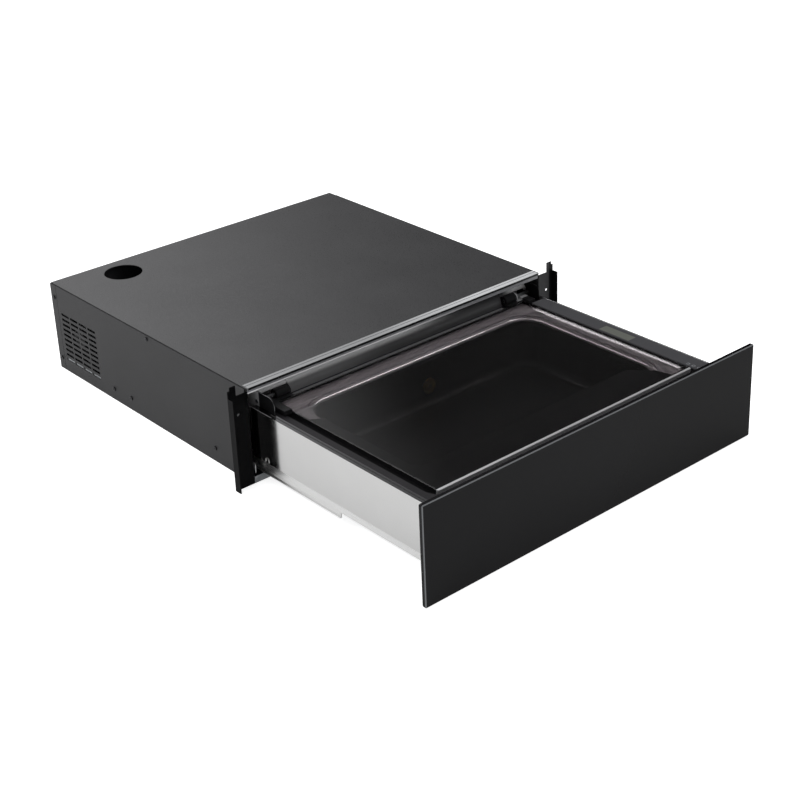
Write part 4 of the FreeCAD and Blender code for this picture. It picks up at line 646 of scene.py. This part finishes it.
made_piece("lid_print", [(x, y, lid_low.z + 0.00004) for x, y in border],
           [tuple(range(len(border)))], print_black, "lid")

# Lid hinges and hinge plates
# Black moulded arms round pressed steel knuckles; the steel shows beside the right arm and behind
# the left plate. The plates are laser-cut, 1.5 mm thick, and the bare edge of the left one shows
# as a thin line round its front corner.


def part_steel(name, dark, light, start, end, least_x=-1.0):
    """Black coat, bare satin steel from start to end along Y and right of a line across X."""
    material, tree, shader, place = principled(name)
    grain = mottle(tree, place, 0.7, 0, 1, 2.0)
    paint(tree, grain, dark, light)
    along = add(tree, "SeparateXYZ", {0: place})
    bare = add(tree, "MapRange", {0: along.outputs["Y"], 1: start, 2: end})
    across = add(tree, "Math", {0: along.outputs["X"], 1: least_x}, operation="GREATER_THAN")
    bare = add(tree, "Math", {0: bare, 1: across}, operation="MULTIPLY")
    steel = add(tree, "Mix", {"Factor": grain, 6: colour("#9a9a9b"), 7: colour("#a5a5a6")},
                data_type="RGBA")
    overlay(tree, bare, steel.outputs[2])
    drive(tree, "Metallic", add(tree, "Math", {0: bare, 1: 0.25}, operation="MULTIPLY"))
    drive(tree, "Roughness", mottle(tree, place, 1.1, 0.34, 0.42))
    shader.inputs["Specular IOR Level"].default_value = 0.2
    return material


hinge_black = moulded("black_glass_filled_nylon", "#131314", "#19191a", 0.42, gloss=0.3)
finish_nodes(hinge_black, "lid_hinge_left")
right_hinge = part_steel("hinge_black_with_steel_cheek", "#131314", "#19191a", -0.0075, -0.0065,
                         least_x=0.22)
finish_nodes(right_hinge, "lid_hinge_right")
left_plate = part_steel("plate_black_with_steel_rear", "#0c0c0d", "#111112", -0.004, -0.0034)
finish_nodes(left_plate, "hinge_plate_left")
bare_edge = brushed("bare_cut_edge", "#8a8b8d", "#9a9b9d", 0.35, "X")
plate_low, plate_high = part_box("hinge_plate_left")
corner_radius = 0.012
line = [(plate_low.x, plate_low.y, plate_low.z + 0.002)]
for step in range(9):
    angle = math.pi - step * math.pi / 16
    line.append((plate_low.x, plate_low.y + corner_radius + corner_radius * math.cos(angle),
                 plate_high.z - corner_radius + corner_radius * math.sin(angle)))
line.append((plate_low.x, 0.002, plate_high.z))
bead("plate_edge_left", line, 0.00035, bare_edge, "drawer")

# Control strip
# A 26 by 350 mm touch glass with a grey display window, 56 by 15 mm, and three faint printed touch
# marks 4.4 mm across. Its right edge is polished, and a glossy black plate beside the hinge plate,
# painted shade standing in for a dark pocket, ends it towards the housing.


def backed_glass(name, dark, light, roughness):
    """Glass with a coloured backing: a deep base under a smooth glass surface."""
    material, tree, shader, place = principled(name)
    paint(tree, mottle(tree, place, 150, 0, 1), dark, light)
    drive(tree, "Roughness", mottle(tree, place, 45, roughness, roughness * 1.6))
    shader.inputs["IOR"].default_value = 1.52
    return material


touch_glass = backed_glass("touch_glass", "#474749", "#4c4c4e", 0.08)
finish_nodes(touch_glass, "control_glass")
display_glass = backed_glass("display_glass", "#62645e", "#686a64", 0.12)
finish_nodes(display_glass, "display")
strip_low, strip_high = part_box("control_glass")
edge_x, edge_z = strip_high.x - 0.0004, strip_high.z - 0.0003
bead("touch_glass_edge", [(edge_x, strip_low.y + 0.001, edge_z), (edge_x, 0.019, edge_z)],
     0.0004, polished, "drawer")
# painted shade: a glossy near-black plate where a pocket at the strip's end lies in shade
cap_black = moulded("gloss_black_pocket_shade", "#060607", "#09090a", 0.3, gloss=0.3)
plate("strip_end_pocket_shade", (0.2508, -0.0236, strip_high.z - 0.0008),
      (0.2582, -0.002, strip_high.z - 0.0001), cap_black)


def ring(name, centre, radius, width, gap, material):
    """A thin printed ring, open at the top over an angle of gap."""
    steps, half_height = 48, 0.00004
    points, quads = [], []
    for i in range(steps + 1):
        angle = math.pi / 2 + gap / 2 + (2 * math.pi - gap) * i / steps
        for reach in (radius - width / 2, radius + width / 2):
            for level in (-half_height, half_height):
                points.append((centre[0] + reach * math.cos(angle),
                               centre[1] + reach * math.sin(angle), centre[2] + level))
    for i in range(steps):
        a, b = 4 * i, 4 * i + 4
        quads += [(a + 1, b + 1, b + 3, a + 3), (a, a + 1, a + 3, a + 2), (a, b, b + 1, a + 1),
                  (a + 2, a + 3, b + 3, b + 2)]
    made_piece(name, points, quads, material)


print_ink = moulded("grey_print", "#8a8c90", "#94969a", 0.5, 0.3, 0.002)
mark_radius, mark_width, mark_inset = 0.0022, 0.0006, 0.0055
for number, (along, gap) in enumerate([(-0.318, 0.9), (-0.3275, 0.0), (-0.337, 0.0)]):
    ring(f"touch_mark_{number + 1}", (strip_low.x + mark_inset, along, strip_high.z), mark_radius,
         mark_width, gap, print_ink)

# Glass front
# A 595 by 139 by 6 mm pane with a black backing, 2 mm corners and a 1.2 mm frosted bevel, whose
# faces are the only ones tilted between square and flat.
front_glass = backed_glass("black_backed_glass", "#131314", "#161617", 0.15)
tree, place, facing = reading(front_glass)
tree.nodes["Principled BSDF"].inputs["Specular IOR Level"].default_value = 0.08
# painted shade: the pane's backing is painted darker towards the right
overlay(tree, add(tree, "MapRange", {0: place["X"], 1: 0.0, 2: 0.28}), "#070708")
flat = add(tree, "Math", {0: facing["Y"]}, operation="ABSOLUTE")
bevel_middle, bevel_reach = 0.65, 0.31
bevel = add(tree, "Math", {0: flat, 1: bevel_middle, 2: bevel_reach}, operation="COMPARE")
edged(tree, bevel, "#6b6d6f", 0.35)
finish_nodes(front_glass, "front_panel")

# Sealing bar
# Black anodised bar under a black coated glass-fibre band with a 1.2 mm weave; black silicone
# counter bar on the lid.
anodised = brushed("black_anodised_aluminium", "#2c2c2e", "#353537", 0.34, "X")
finish_nodes(anodised, "seal_bar", "lift_cylinders")
fibre_tape, tree, shader, place = principled("glass_fibre_tape")
weave_scale = 1000 / 1.2 / 20
weave_x = add(tree, "TexWave", {"Vector": place, "Scale": weave_scale}, bands_direction="X")
weave_y = add(tree, "TexWave", {"Vector": place, "Scale": weave_scale}, bands_direction="Y")
weave = add(tree, "Math", {0: weave_x.outputs[1], 1: weave_y.outputs[1]}, operation="MULTIPLY")
paint(tree, weave, "#1d1b19", "#2b2825")
shader.inputs["Roughness"].default_value = 0.6
emboss(tree, weave, 0.05)
finish_nodes(fibre_tape, "seal_band")
counter_silicone = moulded("black_silicone", "#1a1a1b", "#212122", 0.6)
finish_nodes(counter_silicone, "counter_bar")

# Turned parts
# Ground steel pins and shaft, with fine marks along X; turned and lightly tarnished brass port and
# valve block.
ground_steel = brushed("ground_steel", "#8f9092", "#a5a6a8", 0.3, "X")
finish_nodes(ground_steel, "hinge_pins", "motor_rotor")
brass, tree, shader, place = principled("turned_brass")
paint(tree, mottle(tree, place, 9, 0, 1), "#a98c4c", "#c7ab66")
shader.inputs["Metallic"].default_value = 1.0
drive(tree, "Roughness", mottle(tree, place, 1.2, 0.25, 0.4))
finish_nodes(brass, "suction_fitting", "valve_block")

# Pump set
# Grey painted cast iron pump with a rough skin, dark enamelled motor with its cowl, light grey
# enamelled filter can.
cast, tree, shader, place = principled("painted_cast_iron")
cast_skin = mottle(tree, place, 2.2, 0, 1, 4.0)
paint(tree, cast_skin, "#5c6063", "#6b6f72")
drive(tree, "Roughness", mottle(tree, place, 5, 0.45, 0.6))
emboss(tree, cast_skin, 0.25)
finish_nodes(cast, "vacuum_pump")
motor_coat = coated_metal("motor_enamel", "#30343a", "#3a3e45", 0.4)
finish_nodes(motor_coat, "pump_motor")
filter_coat = coated_metal("light_grey_enamel", "#a3a5a6", "#b1b3b4", 0.38)
finish_nodes(filter_coat, "exhaust_filter")

# Electronics and small nylon parts
# Green glass-fibre laminate boards with a faint track pattern every 9 mm; moulded natural nylon
# standoffs and latch.
laminate, tree, shader, place = principled("green_laminate")
tracks = add(tree, "TexBrick", {"Vector": place, "Scale": 1000 / 9, "Mortar Size": 0.03})
paint(tree, tracks.outputs["Fac"], "#15522b", "#2b7a45")
drive(tree, "Roughness", mottle(tree, place, 12, 0.3, 0.42))
finish_nodes(laminate, "power_board", "control_board")
nylon = moulded("natural_nylon", "#cfccc2", "#dcd9cf", 0.45)
finish_nodes(nylon, "board_standoffs", "latch_body", "latch_plunger")

bpy.context.scene.view_settings.view_transform = "Standard"
